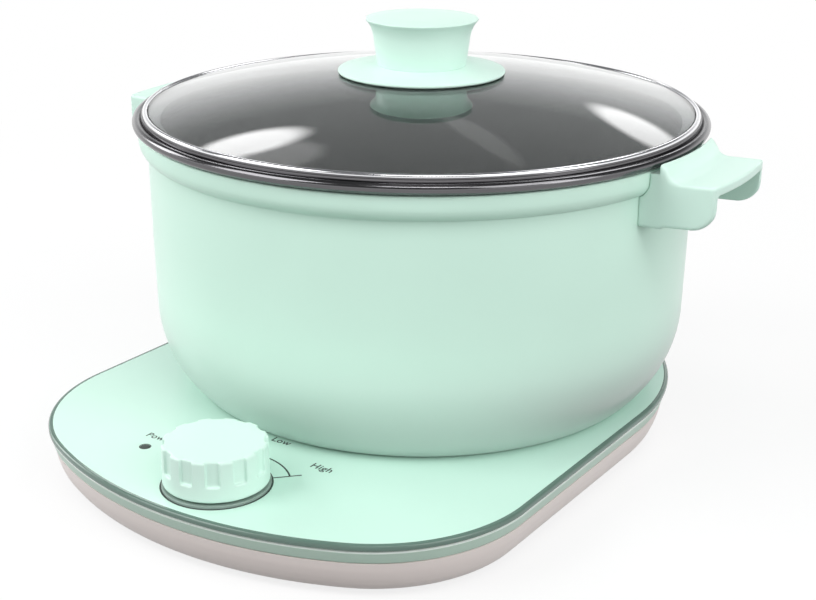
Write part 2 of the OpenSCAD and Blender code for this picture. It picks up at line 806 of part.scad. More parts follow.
// A handle along +X: a grip plate with a skirt at each end, a back block and a low wall by the lid
module handle() {
    root_x = wall_top_r - 4;
    in_x = root_x - 6;
    outer = handle_reach - 1.8;
    tip_x = handle_reach + 1;
    tip_z = grip_z + grip_rise;
    bottom = rim_z - handle_drop;
    round_z = bottom + skirt_round + 1.5;
    difference() {
        intersection() {
            union() {
                translate([0, handle_half, 0])
                    rotate([90, 0, 0])
                        linear_extrude(handle_w)
                            polygon([[root_x, grip_z], [tip_x, tip_z],
                                [tip_x, tip_z - grip_t], [root_x, grip_z - grip_t]]);
                for (y = [skirt_t - handle_half, handle_half])
                    translate([0, y, 0])
                        rotate([90, 0, 0])
                            linear_extrude(skirt_t)
                                polygon(concat([[root_x, grip_z - 1], [root_x, bottom]],
                                    arc(outer - skirt_round, round_z, skirt_round, -90, 0, 8),
                                    [[outer, tip_z - 2]]));
                translate([in_x, -handle_half, bottom])
                    cube([back_x - in_x, handle_w, grip_z - bottom]);
                rotate_extrude($fn = 160)
                    polygon(concat(
                        [[root_x, grip_z - 3], [upstand_r + upstand_fillet, grip_z - 3]],
                        arc(upstand_r + upstand_fillet, grip_z + upstand_fillet + 0.7,
                            upstand_fillet, 270, 180, 5),
                        [[upstand_r, rim_z + upstand_h], [root_x, rim_z + upstand_h]]));
            }
            translate([in_x, -handle_half, bottom])
                cube([handle_reach, handle_w, handle_drop + upstand_h]);
            translate([0, 0, bottom - 1]) cylinder(r = handle_reach, h = 60, $fn = 160);
        }
        rotate_extrude($fn = 160)
            polygon(concat([[0, base_h]], pot_outside(fix_gap),
                [[collar_r + fix_gap, rim_z], [0, rim_z]]));
        translate([0, 0, rim_z - 0.5]) cylinder(r = pocket_r, h = 20, $fn = 160);
        handle_bosses(handle_boss_r + fix_gap, handle_boss_end + fix_gap);
        for (y = [-1, 1])
            translate([pot_r, y * handle_screw_y, handle_screw_z])
                rotate([0, 90, 0]) cylinder(r = handle_screw_r + 0.3, h = 20);
    }
}

module right_handle() color(mint_light) on_pot() handle();

module left_handle() color(mint_light) on_pot() rotate([0, 0, 180]) handle();

module handle_screws() color("silver") {
    on_pot()
        for (side = [-1, 1], y = [-1, 1])
            translate([side * back_x, y * handle_screw_y, handle_screw_z])
                rotate([0, side * 90, 0])
                    screw(handle_screw_head_r, handle_screw_head_h, handle_screw_r, handle_screw_l);
}

// ---- Lid --------------------------------------------------------------------------------------

// Height of the glass's outer face at radius r
function dome_z(r) = dome_top - dome_r + sqrt(pow(dome_r, 2) - pow(r, 2));

// Section of the glass, grown by gap
module glass_section(gap) {
    polygon(concat(
        [for (i = [0:14]) let (r = (glass_r + gap) * i / 14) [r, dome_z(r) + gap]],
        [for (i = [14:-1:0]) let (r = (glass_r + gap) * i / 14) [r, dome_z(r) - glass_t - gap]]));
}

module glass_lid() color([0.25, 0.27, 0.28, 0.5]) {
    difference() {
        at_pot() rotate_extrude($fn = 160) glass_section(0);
        at_pot(0, 0, dome_top - 3 * glass_t) cylinder(r = knob_hole_r, h = 4 * glass_t);
    }
}

module rim_ring() color("#33363a") {
    plug_r = mouth_r - lift_gap;
    at_pot()
        rotate_extrude($fn = 160)
            difference() {
                polygon(concat(
                    [[plug_r - 3.4, ring_z - plug_h + 0.8], [plug_r - 2.6, ring_z - plug_h],
                     [plug_r - 0.8, ring_z - plug_h], [plug_r, ring_z - plug_h + 0.8],
                     [plug_r, ring_z], [ring_r - 3.6, ring_z]],
                    arc(ring_r - bead_r, ring_z + 3, bead_r, -70, 150, 9),
                    [[glass_r + 2.4, ring_z + 4.3]],
                    arc(glass_r + 1, ring_top - glass_bead_r, glass_bead_r, 0, 180, 6),
                    [[glass_r - 0.3, dome_z(glass_r - 0.3) - 1], [plug_r - 3.4, ring_z + 1]]));
                glass_section(fix_gap);
            }
}

// Points along the outer face of the glass between two radii, lifted by gap
function dome_line(r0, r1, gap, n) = [for (i = [0:n]) let (r = r0 + (r1 - r0) * i / n) [r, dome_z(r) + gap]];

module knob_gasket() color("#2e2f31") {
    at_pot()
        rotate_extrude()
            polygon(concat(dome_line(knob_hole_r + 0.2, gasket_r, 0.05, 3),
                dome_line(gasket_r, knob_hole_r + 0.2, gasket_t - 0.05, 3)));
}

module knob_flange() color(mint_light) {
    edge_z = dome_z(flange_r) + gasket_t;
    at_pot()
        rotate_extrude()
            polygon(concat(dome_line(knob_hole_r + 0.2, flange_r - 0.4, gasket_t, 6),
                [[flange_r, edge_z + 0.4], [flange_r, edge_z + flange_t - 0.4],
                 [flange_r - 0.5, edge_z + flange_t], [stem_r + 2.4, knob_z - 0.3],
                 [stem_r + 0.6, knob_z], [knob_hole_r + 0.2, knob_z]]));
}

module knob_grip() color(mint_light) {
    top = knob_z + knob_h;
    difference() {
        at_pot()
            rotate_extrude()
                polygon([[0, knob_z], [stem_r, knob_z], [stem_r + 0.9, top - 16], [stem_r + 1.8, top - 9],
                    [stem_r + 2.5, top - 5.5], [knob_r - 1.9, top - 2.6], [knob_r - 0.3, top - 0.6],
                    [knob_r, top], [knob_r - 0.5, top + 0.5], [knob_r * 0.6, top + 1.1], [0, top + 1.4]]);
        at_pot(0, 0, knob_z - 1) cylinder(r = insert_r + fix_gap, h = insert_h + 1.2);
    }
}

module knob_insert() color("#b08d3c") {
    at_pot(0, 0, knob_z)
        difference() {
            cylinder(r = insert_r, h = insert_h);
            translate([0, 0, -1]) cylinder(r = knob_screw_r + run_gap, h = knob_screw_in + 3);
        }
}

module knob_washer() color("silver") {
    at_pot(0, 0, washer_z)
        difference() {
            cylinder(r = washer_r, h = washer_t);
            translate([0, 0, -1]) cylinder(r = knob_screw_r + 0.3, h = washer_t + 2);
        }
}

module knob_screw() color("silver") {
    at_pot(0, 0, washer_z)
        mirror([0, 0, 1])
            screw(2 * knob_screw_r, 2.6, knob_screw_r, knob_z + knob_screw_in - washer_z);
}

bottom_cover();
rubber_feet();
cover_screws();
upper_casing();
plate_seal();
glass_plate();
coil_former();
induction_coil();
ferrite_bars();
coil_screws();
sensor_holder();
sensor_pad();
main_board();
board_screws();
heat_sink();
filter_capacitors();
fan_frame();
fan_screws();
fan_rotor();
control_board();
control_screws();
dial_potentiometer();
dial_ring();
dial_shaft();
dial_knob();
indicator_led();
indicator_lens();
terminal_block();
cord_gland();
pot_body();
pot_base_disc();
left_handle();
right_handle();
handle_screws();
glass_lid();
rim_ring();
knob_gasket();
knob_flange();
knob_grip();
knob_insert();
knob_washer();
knob_screw();
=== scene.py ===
"""Looks of an electric hot pot: a glass-topped cooking base, a round lift-off pot and a glass lid.

A piece's lengths are millimetres until its mesh is made. The camera, the lamps and the floor are in metres.
Pieces are drawn round the pot's axis, and settle() takes them to its place.
"""
import math

import bmesh
import bpy
import numpy as np
from mathutils import Matrix, Vector


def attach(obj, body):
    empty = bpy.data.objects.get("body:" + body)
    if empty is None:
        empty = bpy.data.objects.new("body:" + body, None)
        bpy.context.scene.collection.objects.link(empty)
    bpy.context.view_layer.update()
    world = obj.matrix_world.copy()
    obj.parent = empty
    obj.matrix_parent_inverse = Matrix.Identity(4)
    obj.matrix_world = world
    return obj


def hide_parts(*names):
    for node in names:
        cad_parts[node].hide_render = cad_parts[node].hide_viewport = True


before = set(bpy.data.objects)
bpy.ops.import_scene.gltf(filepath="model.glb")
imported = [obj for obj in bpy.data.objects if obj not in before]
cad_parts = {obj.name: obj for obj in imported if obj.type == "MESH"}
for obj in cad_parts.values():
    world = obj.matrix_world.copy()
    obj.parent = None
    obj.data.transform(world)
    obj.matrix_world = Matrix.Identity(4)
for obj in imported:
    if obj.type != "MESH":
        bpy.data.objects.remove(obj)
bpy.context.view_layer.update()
scene = bpy.context.scene

MM = 0.001

# ---- Sizes --------------------------------------------------------------------------------------

POT_Y = 27.85               # the pot's axis, behind the middle of the outline
BASE_W, FRONT, REAR, BOW_R, CORNER_R = 252.5, 196.0, 6.0, 189.0, 78.0
COVER_Z, WALL, SEAM_Z, LEDGE_Z, PLATE_Z, BASE_H = 2.0, 2.0, 18.5, 24.9, 25.4, 28.0
BOW_Y = BOW_R - FRONT
CORNER_X = BASE_W / 2 - CORNER_R
CORNER_Y = BOW_Y - math.sqrt((BOW_R - CORNER_R) ** 2 - CORNER_X ** 2)
CORNER_A = math.asin(CORNER_X / (BOW_R - CORNER_R))

DIAL = (4.7, -165.3)        # from the pot's axis
DIAL_R, DIAL_H, DIAL_GAP, DIAL_ROUND, DIAL_DRAFT = 23.4, 18.6, 2.2, 1.0, 0.012
FLUTES, FLUTE_HALF, FLUTE_FOOT = 12, 2.2, 8.0           # the flutes stop this far above the dial's foot
LENS_OFF, LENS_R = (-50.9, 8.9), 2.3        # the lens from the dial
LENS = (DIAL[0] + LENS_OFF[0], DIAL[1] + LENS_OFF[1])
MARK_LOW, MARK_TOP = BASE_H - 0.02, BASE_H + 0.03     # the printed marks stand just above the glass
FOOT_R, FOOT_H = 9.0, 2.0
HOLE_R, SCREW_IN, FOOT_IN = 4.5, 18, 32     # the shaft's hole, and how far in the screws and the feet sit
FAN, FAN_R, FAN_PITCH = (56, -116), 23, 6
EXHAUST_Y, EXHAUST_LONG, EXHAUST_PITCH, SLOT_HALF = 60, 26, 7, 1.5
GLAND_Z, GLAND_IN, GLAND_OUT = 11.0, 121.65, 131.25

POT_R, POT_T, POT_FLOOR, CORNER_ARC, EDGE_ARC = 132.5, 3.0, 5.0, 56.5, 7.0
RIM_Z = BASE_H + 129.3
WALL_R = POT_R + 0.9
COLLAR_R = WALL_R + 4.3
COLLAR_Z = RIM_Z - 18
MOUTH_R = POT_R - POT_T + 0.9
POT_TURN = math.radians(1.8)
BEND = math.radians(45)                     # where the arcs of the pot's bottom edge and lower corner meet
POT_CORNER_Z = BASE_H + 2.05 + CORNER_ARC * math.sin(BEND)
DISC_R, DISC_IN = 84.1, 1.5                 # the steel disc's recess in the pot's bottom
HANDLE_R, HANDLE_HALF, HANDLE_DROP, GRIP_T = 167.4, 29.3, 25.0, 4.4
GRIP_Z, GRIP_RISE, SKIRT_T, SKIRT_ROUND = RIM_Z - 4.3, 1.7, 3.2, 12.0

RING_R, RING_Z = COLLAR_R + 2.6, RIM_Z + 0.3
RING_TOP = RING_Z + 8.4
POCKET_R, UPSTAND_R, UPSTAND_Z = RING_R + 1.8, RING_R + 5.2, RIM_Z + 3.9
DOME_RISE, GLASS_T = 16.7, 4.0
GLASS_R = RING_R - 7.3
DOME_TOP = RING_TOP - 0.7 + DOME_RISE
DOME_R = (GLASS_R ** 2 + DOME_RISE ** 2) / (2 * DOME_RISE)
FLANGE_R, STEM_R, KNOB_R, KNOB_H = 40.75, 21.6, 27.4, 22.0
KNOB_Z = DOME_TOP + 2.7


# ---- Nodes --------------------------------------------------------------------------------------

def new_nodes(nodes, *kinds):
    """New nodes of these kinds, in order."""
    return [nodes.new(kind) for kind in kinds]


def preset(node, **values):
    """Sets a node's inputs by name. An underscore stands for a space."""
    for label, value in values.items():
        node.inputs[label.replace("_", " ")].default_value = value


def link_up(links, *pairs):
    """Links each output to the input beside it."""
    for start, end in pairs:
        links.new(start, end)


def add_group(kind, name, wanted, given, build):
    """A node group with named inputs (name, socket and, where it has one, value) and outputs (name, socket)."""
    tree = bpy.data.node_groups.new(name, kind)
    for label, socket, *value in wanted:
        made = tree.interface.new_socket(name=label, in_out="INPUT", socket_type=socket)
        if value:
            made.default_value = value[0]
    for label, socket in given:
        tree.interface.new_socket(name=label, in_out="OUTPUT", socket_type=socket)
    take, give = new_nodes(tree.nodes, "NodeGroupInput", "NodeGroupOutput")
    build(tree.nodes, tree.links, take.outputs, give.inputs)
    return tree


def tree_of(holder):
    """The nodes and links of a material or a world."""
    holder.use_nodes = True
    return holder.node_tree.nodes, holder.node_tree.links


def in_scene(name, data):
    """A new object in the scene."""
    thing = bpy.data.objects.new(name, data)
    scene.collection.objects.link(thing)
    return thing


# ---- Camera, lights and floor -------------------------------------------------------------------

# Degrees to the right of the front, above the table, and of roll
CAMERA_TURN, CAMERA_RISE, CAMERA_ROLL = 34.04, 20.28, 0.343
CAMERA_PLACE, CAMERA_FILM, CAMERA_LENS = (0.39636, -0.5695, 0.32681), 36, 65.42

# Each lamp's place in metres, its width, its power in watts, and its height where it isn't square
LAMPS = (("key", (-1.02, -1.35, 1.42), 1.3, 25), ("fill", (1.62, -0.34, 1.5), 1.3, 17),
         ("front", (0.62, -0.92, 2.0), 0.9, 8, 0.55), ("top", (0.0, 0.0, 1.95), 0.6, 0.6),
         ("right_side", (2.0, 0.1, 0.85), 0.8, 6), ("left_side", (-2.0, -0.1, 0.95), 0.8, 12),
         ("back", (0.1, 1.6, 1.95), 0.8, 8))
LAMP_AIM = (0, 0, 0.08)

# The room's light against the height of a direction, from the horizon at 0 to straight up at 1
ROOM = ((0.0, (1.25, 1.25, 1.25, 1)), (0.14, (1.25, 1.25, 1.25, 1)), (0.24, (0.96, 0.97, 0.98, 1)),
        (0.42, (0.175, 0.18, 0.185, 1)), (1.0, (0.175, 0.18, 0.185, 1)))
# Soft patches of light in the room: turn, rise, half width, half height and lean in degrees, strength
GLOWS = ((-131.0, 31.4, 4.4, 2.8, 0, 6.0), (-133.0, 36.3, 3.2, 3.0, 0, 0.9),
         (-162.8, 22.8, 2.0, 5.4, 42, 3.6), (-152.2, 34.6, 1.2, 6.5, 32, 0.4))
GLOW_CORE, GLOW_END = 0.7, 1.3      # where a patch starts to fade and ends, as shares of its half size

FLOOR_HALF = 6.0
FLOOR_TONE, FLOOR_SEEN = 0.16, 0.92         # what it throws back, and what it shows
SHADOW_NEAR, SHADOW_FAR = 0.2, 0.75         # metres from the floor's middle between which the shadow fades
WHITE_NEAR, WHITE_FAR = 0.8, 1.0            # the share of plain white at those two distances


def facing(turn, rise):
    """The way out at turn, measured to the right of the front, and rise, in degrees."""
    turn, rise = math.radians(turn), math.radians(rise)
    return Vector((math.sin(turn) * math.cos(rise), -math.cos(turn) * math.cos(rise), math.sin(rise)))


def axes_facing(turn, rise, lean):
    """Right, up and out for something that faces turn and rise, leaned about out, in degrees."""
    out, right = facing(turn, rise), facing(turn + 90, 0)
    up, lean = out.cross(right), math.radians(lean)
    return (right * math.cos(lean) + up * math.sin(lean), up * math.cos(lean) - right * math.sin(lean), out)


def set_camera():
    """The photograph's view, from its outlines: right of the front, and a little above."""
    data = bpy.data.cameras.new("camera")
    data.sensor_width, data.lens = CAMERA_FILM, CAMERA_LENS
    data.clip_start, data.clip_end = 0.05, 30
    camera = in_scene("camera", data)
    axes = Matrix(axes_facing(CAMERA_TURN, CAMERA_RISE, CAMERA_ROLL)).transposed().to_4x4()
    camera.matrix_world = Matrix.Translation(CAMERA_PLACE) @ axes
    scene.camera = camera


def add_softbox(name, place, width, power, height=None):
    data = bpy.data.lights.new(name, "AREA")
    data.shape, data.size, data.size_y = "RECTANGLE", width, height or width
    data.energy = power
    lamp = in_scene(name, data)
    lamp.location = place
    lamp.rotation_euler = (Vector(LAMP_AIM) - Vector(place)).to_track_quat("-Z", "Y").to_euler()


def add_glow(nodes, links, way, turn, rise, wide, tall, lean, strength):
    """A soft oval patch of light in the room, its half sizes and lean in degrees. Gives its strength."""
    axes = axes_facing(turn, rise, lean)
    lay, far, fade = new_nodes(nodes, "ShaderNodeMapping", "ShaderNodeVectorMath", "ShaderNodeMapRange")
    lay.vector_type, far.operation, fade.interpolation_type = "TEXTURE", "LENGTH", "SMOOTHSTEP"
    preset(lay, Location=axes[2], Rotation=Matrix(axes).transposed().to_euler(),
           Scale=(math.radians(wide), math.radians(tall), 0.5))
    preset(fade, From_Min=GLOW_CORE, From_Max=GLOW_END, To_Min=strength, To_Max=0.0)
    link_up(links, (way, lay.inputs["Vector"]), (lay.outputs[0], far.inputs[0]),
            (far.outputs["Value"], fade.inputs["Value"]))
    return fade.outputs[0]


def set_world():
    """A dim room, bright near the horizon, that lights the object and shows in its gloss.

    The camera sees plain white instead, also through the glass.
    """
    world = bpy.data.worlds.new("studio")
    nodes, links = tree_of(world)
    nodes.clear()
    way, apart, walls, path, white_seen = new_nodes(
        nodes, "ShaderNodeTexCoord", "ShaderNodeSeparateXYZ", "ShaderNodeValToRGB", "ShaderNodeLightPath",
        "ShaderNodeMath")
    room, light, white = new_nodes(nodes, *["ShaderNodeBackground"] * 3)
    both, mix, out = new_nodes(nodes, "ShaderNodeAddShader", "ShaderNodeMixShader", "ShaderNodeOutputWorld")
    white_seen.operation = "MAXIMUM"
    for stop, (height, tint) in zip(walls.color_ramp.elements, (ROOM[0], ROOM[-1])):
        stop.position, stop.color = height, tint
    for height, tint in ROOM[1:-1]:
        walls.color_ramp.elements.new(height).color = tint
    total = None
    for glow in GLOWS:
        strength = add_glow(nodes, links, way.outputs["Generated"], *glow)
        if total:
            add = nodes.new("ShaderNodeMath")
            link_up(links, (total, add.inputs[0]), (strength, add.inputs[1]))
            strength = add.outputs[0]
        total = strength
    for shader in (light, white):
        preset(shader, Color=(1, 1, 1, 1))
    link_up(links, (way.outputs["Generated"], apart.inputs[0]), (apart.outputs["Z"], walls.inputs[0]),
            (walls.outputs["Color"], room.inputs["Color"]), (total, light.inputs["Strength"]),
            (room.outputs[0], both.inputs[0]), (light.outputs[0], both.inputs[1]),
            (path.outputs["Is Camera Ray"], white_seen.inputs[0]),
            (path.outputs["Is Transmission Ray"], white_seen.inputs[1]),
            (white_seen.outputs[0], mix.inputs[0]), (both.outputs[0], mix.inputs[1]),
            (white.outputs[0], mix.inputs[2]), (mix.outputs[0], out.inputs["Surface"]))
    scene.world = world


def add_floor():
    """White but for the shadow where it is seen, also in a gloss or through glass. It throws back less light."""
    me = bpy.data.meshes.new("floor")
    half = FLOOR_HALF
    corners = [(-half, -half, 0), (half, -half, 0), (half, half, 0), (-half, half, 0)]
    me.from_pydata(corners, [], [(0, 1, 2, 3)])
    floor = in_scene("floor", me)
    mat = bpy.data.materials.new("pale_floor")
    nodes, links = tree_of(mat)
    nodes.clear()
    place, far, clear, path = new_nodes(nodes, "ShaderNodeTexCoord", "ShaderNodeVectorMath", "ShaderNodeMapRange",
                                        "ShaderNodeLightPath")
    share, pale, direct, seen = new_nodes(nodes, *["ShaderNodeMath"] * 4)
    cloth, lit, mix, out = new_nodes(nodes, "ShaderNodeBsdfDiffuse", "ShaderNodeEmission", "ShaderNodeMixShader",
                                     "ShaderNodeOutputMaterial")
    far.operation, share.operation, pale.operation = "LENGTH", "MULTIPLY", "MULTIPLY_ADD"
    direct.operation, seen.operation = "MAXIMUM", "MAXIMUM"
    preset(clear, From_Min=SHADOW_NEAR, From_Max=SHADOW_FAR, To_Min=WHITE_NEAR, To_Max=WHITE_FAR)
    pale.inputs[1].default_value, pale.inputs[2].default_value = FLOOR_SEEN - FLOOR_TONE, FLOOR_TONE
    link_up(links, (place.outputs["Object"], far.inputs[0]), (far.outputs["Value"], clear.inputs["Value"]),
            (path.outputs["Is Camera Ray"], direct.inputs[0]), (path.outputs["Is Glossy Ray"], direct.inputs[1]),
            (direct.outputs[0], seen.inputs[0]), (path.outputs["Is Transmission Ray"], seen.inputs[1]),
            (clear.outputs[0], share.inputs[1]), (seen.outputs[0], share.inputs[0]),
            (seen.outputs[0], pale.inputs[0]), (pale.outputs[0], cloth.inputs["Color"]),
            (share.outputs[0], mix.inputs[0]), (cloth.outputs[0], mix.inputs[1]), (lit.outputs[0], mix.inputs[2]),
            (mix.outputs[0], out.inputs["Surface"]))
    me.materials.append(mat)


# ---- Finishes -----------------------------------------------------------------------------------

def linear(r, g, b):
    """The shader's colour for one written as 0 to 255 screen values."""
    return tuple(((v / 255 + 0.055) / 1.055) ** 2.4 if v > 10 else v / 255 / 12.92 for v in (r, g, b)) + (1,)


def build_tone_drift(nodes, links, take, give):
    """A colour that drifts a little from place to place, as a moulding or a fired coat does."""
    places, noise, mix = new_nodes(nodes, "ShaderNodeTexCoord", "ShaderNodeTexNoise", "ShaderNodeMix")
    preset(noise, Detail=2)
    mix.data_type = "RGBA"
    link_up(links, (places.outputs["Object"], noise.inputs["Vector"]), (take["Scale"], noise.inputs["Scale"]),
            (noise.outputs["Fac"], mix.inputs["Factor"]), (take["Tone"], mix.inputs["A"]),
            (take["Other tone"], mix.inputs["B"]), (mix.outputs["Result"], give["Color"]))


def build_fine_grain(nodes, links, take, give):
    """The fine texture of a moulded or coated surface: height for a bump, and roughness round a mean."""
    places, fine, broad = new_nodes(nodes, "ShaderNodeTexCoord", "ShaderNodeTexNoise", "ShaderNodeTexNoise")
    half, spread, total = new_nodes(nodes, *["ShaderNodeMath"] * 3)
    half.operation, spread.operation, total.operation = "SUBTRACT", "MULTIPLY", "ADD"
    preset(fine, Detail=3)
    preset(broad, Scale=18, Detail=4)
    half.inputs[1].default_value = 0.5
    link_up(links, (places.outputs["Object"], fine.inputs["Vector"]),
            (places.outputs["Object"], broad.inputs["Vector"]),
            (take["Scale"], fine.inputs["Scale"]), (broad.outputs["Fac"], half.inputs[0]),
            (half.outputs[0], spread.inputs[0]), (take["Spread"], spread.inputs[1]),
            (spread.outputs[0], total.inputs[0]), (take["Roughness"], total.inputs[1]),
            (total.outputs[0], give["Roughness"]), (fine.outputs["Fac"], give["Height"]))


TONE_DRIFT = add_group(
    "ShaderNodeTree", "tone_drift",
    [("Tone", "NodeSocketColor", (1, 1, 1, 1)), ("Other tone", "NodeSocketColor", (1, 1, 1, 1)),
     ("Scale", "NodeSocketFloat", 12.0)],
    [("Color", "NodeSocketColor")], build_tone_drift)
FINE_GRAIN = add_group(
    "ShaderNodeTree", "fine_grain",
    [("Scale", "NodeSocketFloat", 900.0), ("Roughness", "NodeSocketFloat", 0.4),
     ("Spread", "NodeSocketFloat", 0.1)],
    [("Roughness", "NodeSocketFloat"), ("Height", "NodeSocketFloat")], build_fine_grain)
BUMP_DEPTH = 0.0001         # metres


def finish(name, tone, drift=4, rough=0.4, spread=0.08, grain=1200, bump=0.04, scale=14, **shader):
    """A Principled material with drifting colour and fine grain. shader holds plain socket values."""
    mat = bpy.data.materials.new(name)
    nodes, links = tree_of(mat)
    surface = nodes["Principled BSDF"]
    colour, texture = new_nodes(nodes, "ShaderNodeGroup", "ShaderNodeGroup")
    colour.node_tree, texture.node_tree = TONE_DRIFT, FINE_GRAIN
    preset(colour, Tone=linear(*(max(0, v - drift) for v in tone)),
           Other_tone=linear(*(min(255, v + drift) for v in tone)), Scale=scale)
    preset(texture, Scale=grain, Roughness=rough, Spread=spread)
    link_up(links, (colour.outputs["Color"], surface.inputs["Base Color"]),
            (texture.outputs["Roughness"], surface.inputs["Roughness"]))
    if bump:
        relief = nodes.new("ShaderNodeBump")
        preset(relief, Strength=bump, Distance=BUMP_DEPTH)
        link_up(links, (texture.outputs["Height"], relief.inputs["Height"]),
                (relief.outputs["Normal"], surface.inputs["Normal"]))
    preset(surface, **shader)
    return mat


def add_painted_lower_shade(mat, tone, low, high):
    """Painted shade: a duller tone below, which gives way to the coat's own between two heights in millimetres."""
    nodes, links = tree_of(mat)
    base = nodes["Principled BSDF"].inputs["Base Color"]
    coat = base.links[0].from_socket
    place, apart, rise, mix = new_nodes(nodes, "ShaderNodeTexCoord", "ShaderNodeSeparateXYZ", "ShaderNodeMapRange",
                                        "ShaderNodeMix")
    rise.interpolation_type, mix.data_type = "SMOOTHSTEP", "RGBA"
    preset(rise, From_Min=low * MM, From_Max=high * MM)
    mix.inputs["A"].default_value = linear(*tone)
    link_up(links, (place.outputs["Object"], apart.inputs[0]), (apart.outputs["Z"], rise.inputs["Value"]),
            (rise.outputs[0], mix.inputs["Factor"]), (coat, mix.inputs["B"]), (mix.outputs["Result"], base))


MINT_COAT = finish("mint_coat", (214, 246, 231), rough=0.3, spread=0.06, grain=500, bump=0.03, Coat_Weight=0.1,
                   Coat_Roughness=0.2, Specular_IOR_Level=0.22)
# The pot's coat is painted duller and darker towards the bottom: painted shade.
add_painted_lower_shade(MINT_COAT, (188, 204, 197), 36, 86)
POT_LINING = finish("dark_lining", (52, 53, 54), rough=0.42, grain=900, bump=0.1, scale=60)
MINT_SHELL = finish("mint_shell", (190, 214, 200), rough=0.38, grain=1400, bump=0.05, Specular_IOR_Level=0.3)
PALE_MINT = finish("pale_mint", (214, 242, 230), drift=2, rough=0.42, spread=0.05, grain=900, bump=0.02,
                   Coat_Weight=0.1, Coat_Roughness=0.3)
PLATE_MINT = finish("plate_mint", (208, 241, 227), drift=2, rough=0.26, spread=0.04, grain=300, bump=0.0,
                    Coat_Weight=0.4, Coat_Roughness=0.3)
PLATE_EDGE = finish("plate_edge", (92, 118, 107), rough=0.25, bump=0.0, Coat_Weight=0.3)
WARM_SHELL = finish("warm_shell", (234, 224, 220), rough=0.42, grain=1400, bump=0.06)
# The seal's own pale colour, also used on the upper shell's top lip as a painted highlight.
PALE_SEAL_AND_HIGHLIGHT = finish("pale_seal", (226, 236, 230), rough=0.5, grain=1500, bump=0.04)
# Dark print, also used for the painted shade of the gap round the dial.
PRINT_AND_GAP_SHADE = finish("dark_print", (44, 54, 50), rough=0.5, grain=2500, bump=0.05, scale=200)
LENS_GREY = finish("lens_grey", (54, 64, 60), rough=0.45, bump=0.02)
COLLAR_GREY = finish("collar_grey", (134, 152, 144), rough=0.3, grain=1800, bump=0.04)
DARK_CHROME = finish("dark_chrome", (104, 103, 105), drift=3, rough=0.16, spread=0.06, grain=300, bump=0.0,
                     Metallic=1.0)
# A lighter copy of the rim's chrome for its thin bead: a painted highlight line.
PAINTED_HIGHLIGHT_CHROME = finish("bright_chrome", (228, 228, 230), drift=3, rough=0.14, spread=0.05, grain=300, bump=0.0,
                       Metallic=1.0)
STEEL = finish("screw_steel", (176, 178, 180), rough=0.28, grain=2200, bump=0.06, Metallic=1.0)
DISC_STEEL = finish("disc_steel", (146, 148, 150), rough=0.36, grain=1800, bump=0.08, Metallic=1.0)
RUBBER = finish("foot_rubber", (70, 72, 74), rough=0.72, grain=2400, bump=0.2)
DARK_PLASTIC = finish("dark_plastic", (52, 54, 57), rough=0.5, grain=1800, bump=0.12)
BRASS = finish("brass", (182, 148, 82), rough=0.3, grain=1800, bump=0.05, Metallic=1.0)
COPPER = finish("coil_copper", (176, 104, 62), rough=0.38, grain=1500, bump=0.1, Metallic=0.9)
CERAMIC = finish("coil_plastic", (232, 228, 216), rough=0.55, grain=1600, bump=0.1)
FERRITE = finish("ferrite", (58, 58, 61), rough=0.6, grain=2000, bump=0.25)
BOARD = finish("circuit_board", (46, 116, 76), rough=0.4, grain=1500, bump=0.12, scale=60)
ALUMINIUM = finish("sink_aluminium", (170, 173, 176), rough=0.34, grain=2000, bump=0.08, Metallic=1.0)
CAPACITOR = finish("capacitor", (214, 176, 60), rough=0.4, grain=1500, bump=0.05)
LID_GLASS = finish("lid_glass", (236, 240, 239), drift=1, rough=0.015, spread=0.01, bump=0.0,
                   Transmission_Weight=1.0, IOR=1.48)


# ---- Making meshes ------------------------------------------------------------------------------

WELD, THIN, TURN_WELD = 0.000002, 0.000001, 0.000004       # metres: points nearer than this are one
STRAIGHT, SIDE_SHARE = 1.55, 0.48       # the half angle of a corner left alone, and the most of a side rounded


def mesh(name, points, faces, mats, sharp=35):
    """A piece from millimetre points, with its faces turned outwards."""
    me = bpy.data.meshes.new(name)
    me.from_pydata((np.asarray(points, float) * MM).tolist(), [], faces)
    for mat in mats:
        me.materials.append(mat)
    tidy_mesh(me, sharp)
    return in_scene(name, me)


def tidy_mesh(me, sharp=35):
    """Merges doubles, turns the faces outwards and smooths all but the sharp edges."""
    bm = bmesh.new()
    bm.from_mesh(me)
    bmesh.ops.remove_doubles(bm, verts=bm.verts, dist=WELD)
    bmesh.ops.dissolve_degenerate(bm, edges=bm.edges, dist=THIN)
    bmesh.ops.recalc_face_normals(bm, faces=bm.faces)
    bm.to_mesh(me)
    bm.free()
    me.shade_smooth()
    me.set_sharp_from_angle(angle=math.radians(sharp))


def moved(piece, x, y, z=0):
    """Moves a piece's mesh, in millimetres."""
    piece.data.transform(Matrix.Translation((x * MM, y * MM, z * MM)))


def settle(piece, body, slot, *nodes):
    """Takes a piece to the pot's axis, gives it its body and hides the CAD nodes that it stands for. Its slot is
    not used.
    """
    moved(piece, 0, POT_Y)
    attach(piece, body)
    if nodes:
        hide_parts(*nodes)


def plain_mesh(thing):
    return bpy.data.meshes.new_from_object(thing.evaluated_get(bpy.context.evaluated_depsgraph_get()))


def applied(piece):
    """The piece with its modifiers made plain mesh."""
    me = plain_mesh(piece)
    piece.modifiers.clear()
    piece.data = me
    me.name = piece.name
    return piece


